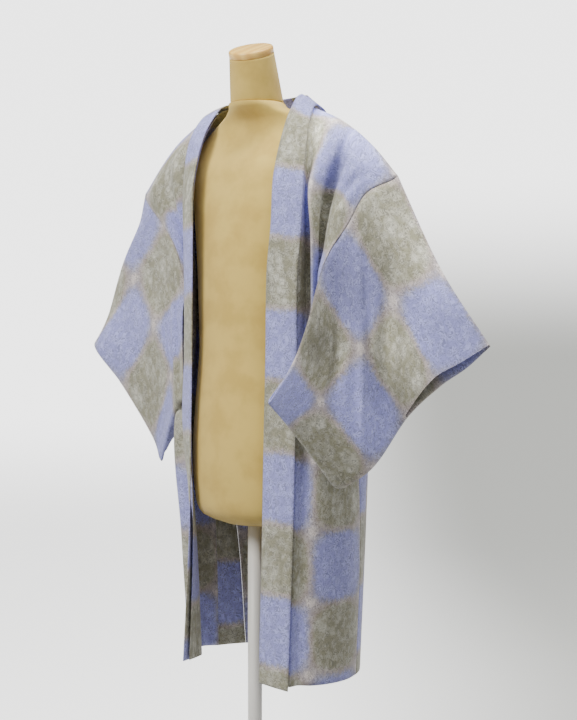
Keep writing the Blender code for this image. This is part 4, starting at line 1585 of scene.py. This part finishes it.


# ---------------------------------------------------------------- each piece's folds, painted light and shade, and lay
# Places are metres across and along the piece's own map, before its lay.  A panel's map starts at the front
# hem and the inner edge; a sleeve's at the shoulder fold and the armhole, with the back layer below zero.
BACK_FLUTES = Flutes((.02, .27), (1.36, 2.01), 1.6, .0045, start=.2)
LEFT_PANEL_CREASES: Sequence[Fold] = (
    Crease([(.183, .660), (.182, .760), (.181, .860), (.186, .940), (.192, .990)], -.015, .021),
    Crease([(.118, .600), (.118, .740), (.116, .880)], -.007, .014),
    Crease([(.235, .820), (.240, .880), (.255, .950)], -.006, .020),
    BACK_FLUTES,
)
# painted light and shade on the left panel: pale where the neck side and the shoulder catch the light, dark
# in the crease's trough, in the wedge beside the sleeve and low on the front
LEFT_PANEL_PAINTED_LIGHT = (Tone((.060, .980), (.110, .150), 1.05), Tone((.190, 1.030), (.140, .100), .90),
                    Tone((.184, .860), (.026, .150), -.42), Tone((.120, .820), (.070, .110), .40),
                    Tone((.200, .700), (.060, .070), -.45), Tone((.200, .140), (.170, .330), -.14),
                    Tone((.220, .400), (.170, .250), .05))
LEFT_PANEL_PULLS = (Pull((.130, .860), (.110, .130), (.000, .024)),
                    Pull((.215, 1.020), (.130, .080), (.000, -.034)))
RIGHT_PANEL_CREASES: Sequence[Fold] = (BACK_FLUTES,)
LEFT_SLEEVE_CREASES: Sequence[Fold] = (
    Crease([(.020, .100), (.077, .150), (.105, .180), (.137, .210), (.169, .240), (.205, .270), (.237, .300),
            (.268, .330), (.300, .370)], .011, .022),
    Crease([(.100, .060), (.160, .130), (.220, .200), (.275, .280), (.310, .330)], -.008, .040),
    Crease([(.010, .140), (.050, .200), (.110, .260), (.180, .330), (.230, .400)], -.007, .036),
    Flutes((.01, .33), (-.45, -.02), 3.6, .013, start=.1),
)
# painted light and shade on the left sleeve: its inner half darker, and its outer and lower parts and the
# shoulder fold paler, as the light falls
LEFT_SLEEVE_PAINTED_LIGHT = (Tone((.030, .250), (.170, .200), -.50), Tone((.100, .140), (.120, .120), -.20),
                     Tone((.190, .350), (.170, .130), .45), Tone((.040, .400), (.130, .090), .40),
                     Tone((.260, .160), (.110, .100), .70), Tone((.130, .020), (.180, .080), .60),
                     Tone((.090, .300), (.090, .070), -.35), Tone((.280, .310), (.090, .080), .30),
                     Tone((.240, .020), (.090, .080), -.25))
RIGHT_SLEEVE_CREASES: Sequence[Fold] = (
    Crease([(.060, .230), (.075, .330), (.085, .520)], .008, .022),
    Crease([(.150, .160), (.160, .240), (.180, .330)], .006, .026),
    Crease([(.240, .080), (.245, .200), (.250, .330)], -.005, .045),
    Flutes((.01, .33), (-.45, -.02), 4.0, .015, start=.1),
)
LEFT_PANEL_LAY = Lay(-.128, -.018 - CHECK_LONG)
RIGHT_PANEL_LAY = Lay(-.128, -.1007 - CHECK_LONG)
LEFT_SLEEVE_LAY = Lay(-CHECK_WIDE * CHECK_SPREAD, .0024)
RIGHT_SLEEVE_LAY = Lay(-CHECK_WIDE * CHECK_SPREAD, -.118)
LEFT_COLLAR_LAY = Lay(.05, -.034)
RIGHT_COLLAR_LAY = Lay(.05, -.0394 - CHECK_LONG)
LEFT_FRONT_LINES = (.0, .060, .100, .135, .185, .240, .290)
RIGHT_FRONT_LINES = (.0, .120, .140, .170, .205, .250, .290)


def main() -> None:
    """Build every piece in order."""
    logging.basicConfig(level=logging.INFO, format="%(name)s: %(message)s")
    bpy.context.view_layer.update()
    silk, jersey = CheckedSilk().make(), Jersey().make()
    beech, steel = Beech().make(), PaintedSteel().make()
    left = BodyPanel(Side.LEFT, PANEL_LEFT, SEAM_LEFT, LEFT_PANEL_LAY, LEFT_PANEL_CREASES, LEFT_FRONT_LINES,
                     pulls=LEFT_PANEL_PULLS, tones=LEFT_PANEL_PAINTED_LIGHT)
    right = BodyPanel(Side.RIGHT, PANEL_RIGHT, SEAM_RIGHT, RIGHT_PANEL_LAY, RIGHT_PANEL_CREASES,
                      RIGHT_FRONT_LINES)
    pieces = (
        left, right, Gusset(left), Gusset(right),
        Sleeve(Side.LEFT, SLEEVE_LEFT, SEAM_LEFT, LEFT_SLEEVE_LAY, LEFT_SLEEVE_CREASES, LEFT_SLEEVE_PAINTED_LIGHT),
        Sleeve(Side.RIGHT, SLEEVE_RIGHT, SEAM_RIGHT, RIGHT_SLEEVE_LAY, RIGHT_SLEEVE_CREASES),
        Collar(Side.LEFT, COLLAR_LEFT, LEFT_COLLAR_LAY), Collar(Side.RIGHT, COLLAR_RIGHT, RIGHT_COLLAR_LAY),
    )
    for piece in pieces:
        piece.build(silk)
    form = DressForm()
    form.torso(jersey)
    form.neck(jersey)
    form.cap(beech)
    form.stand(steel)
    studio = Studio()
    studio.floor()
    studio.lights()
    studio.camera()


if __name__ == "__main__":
    main()
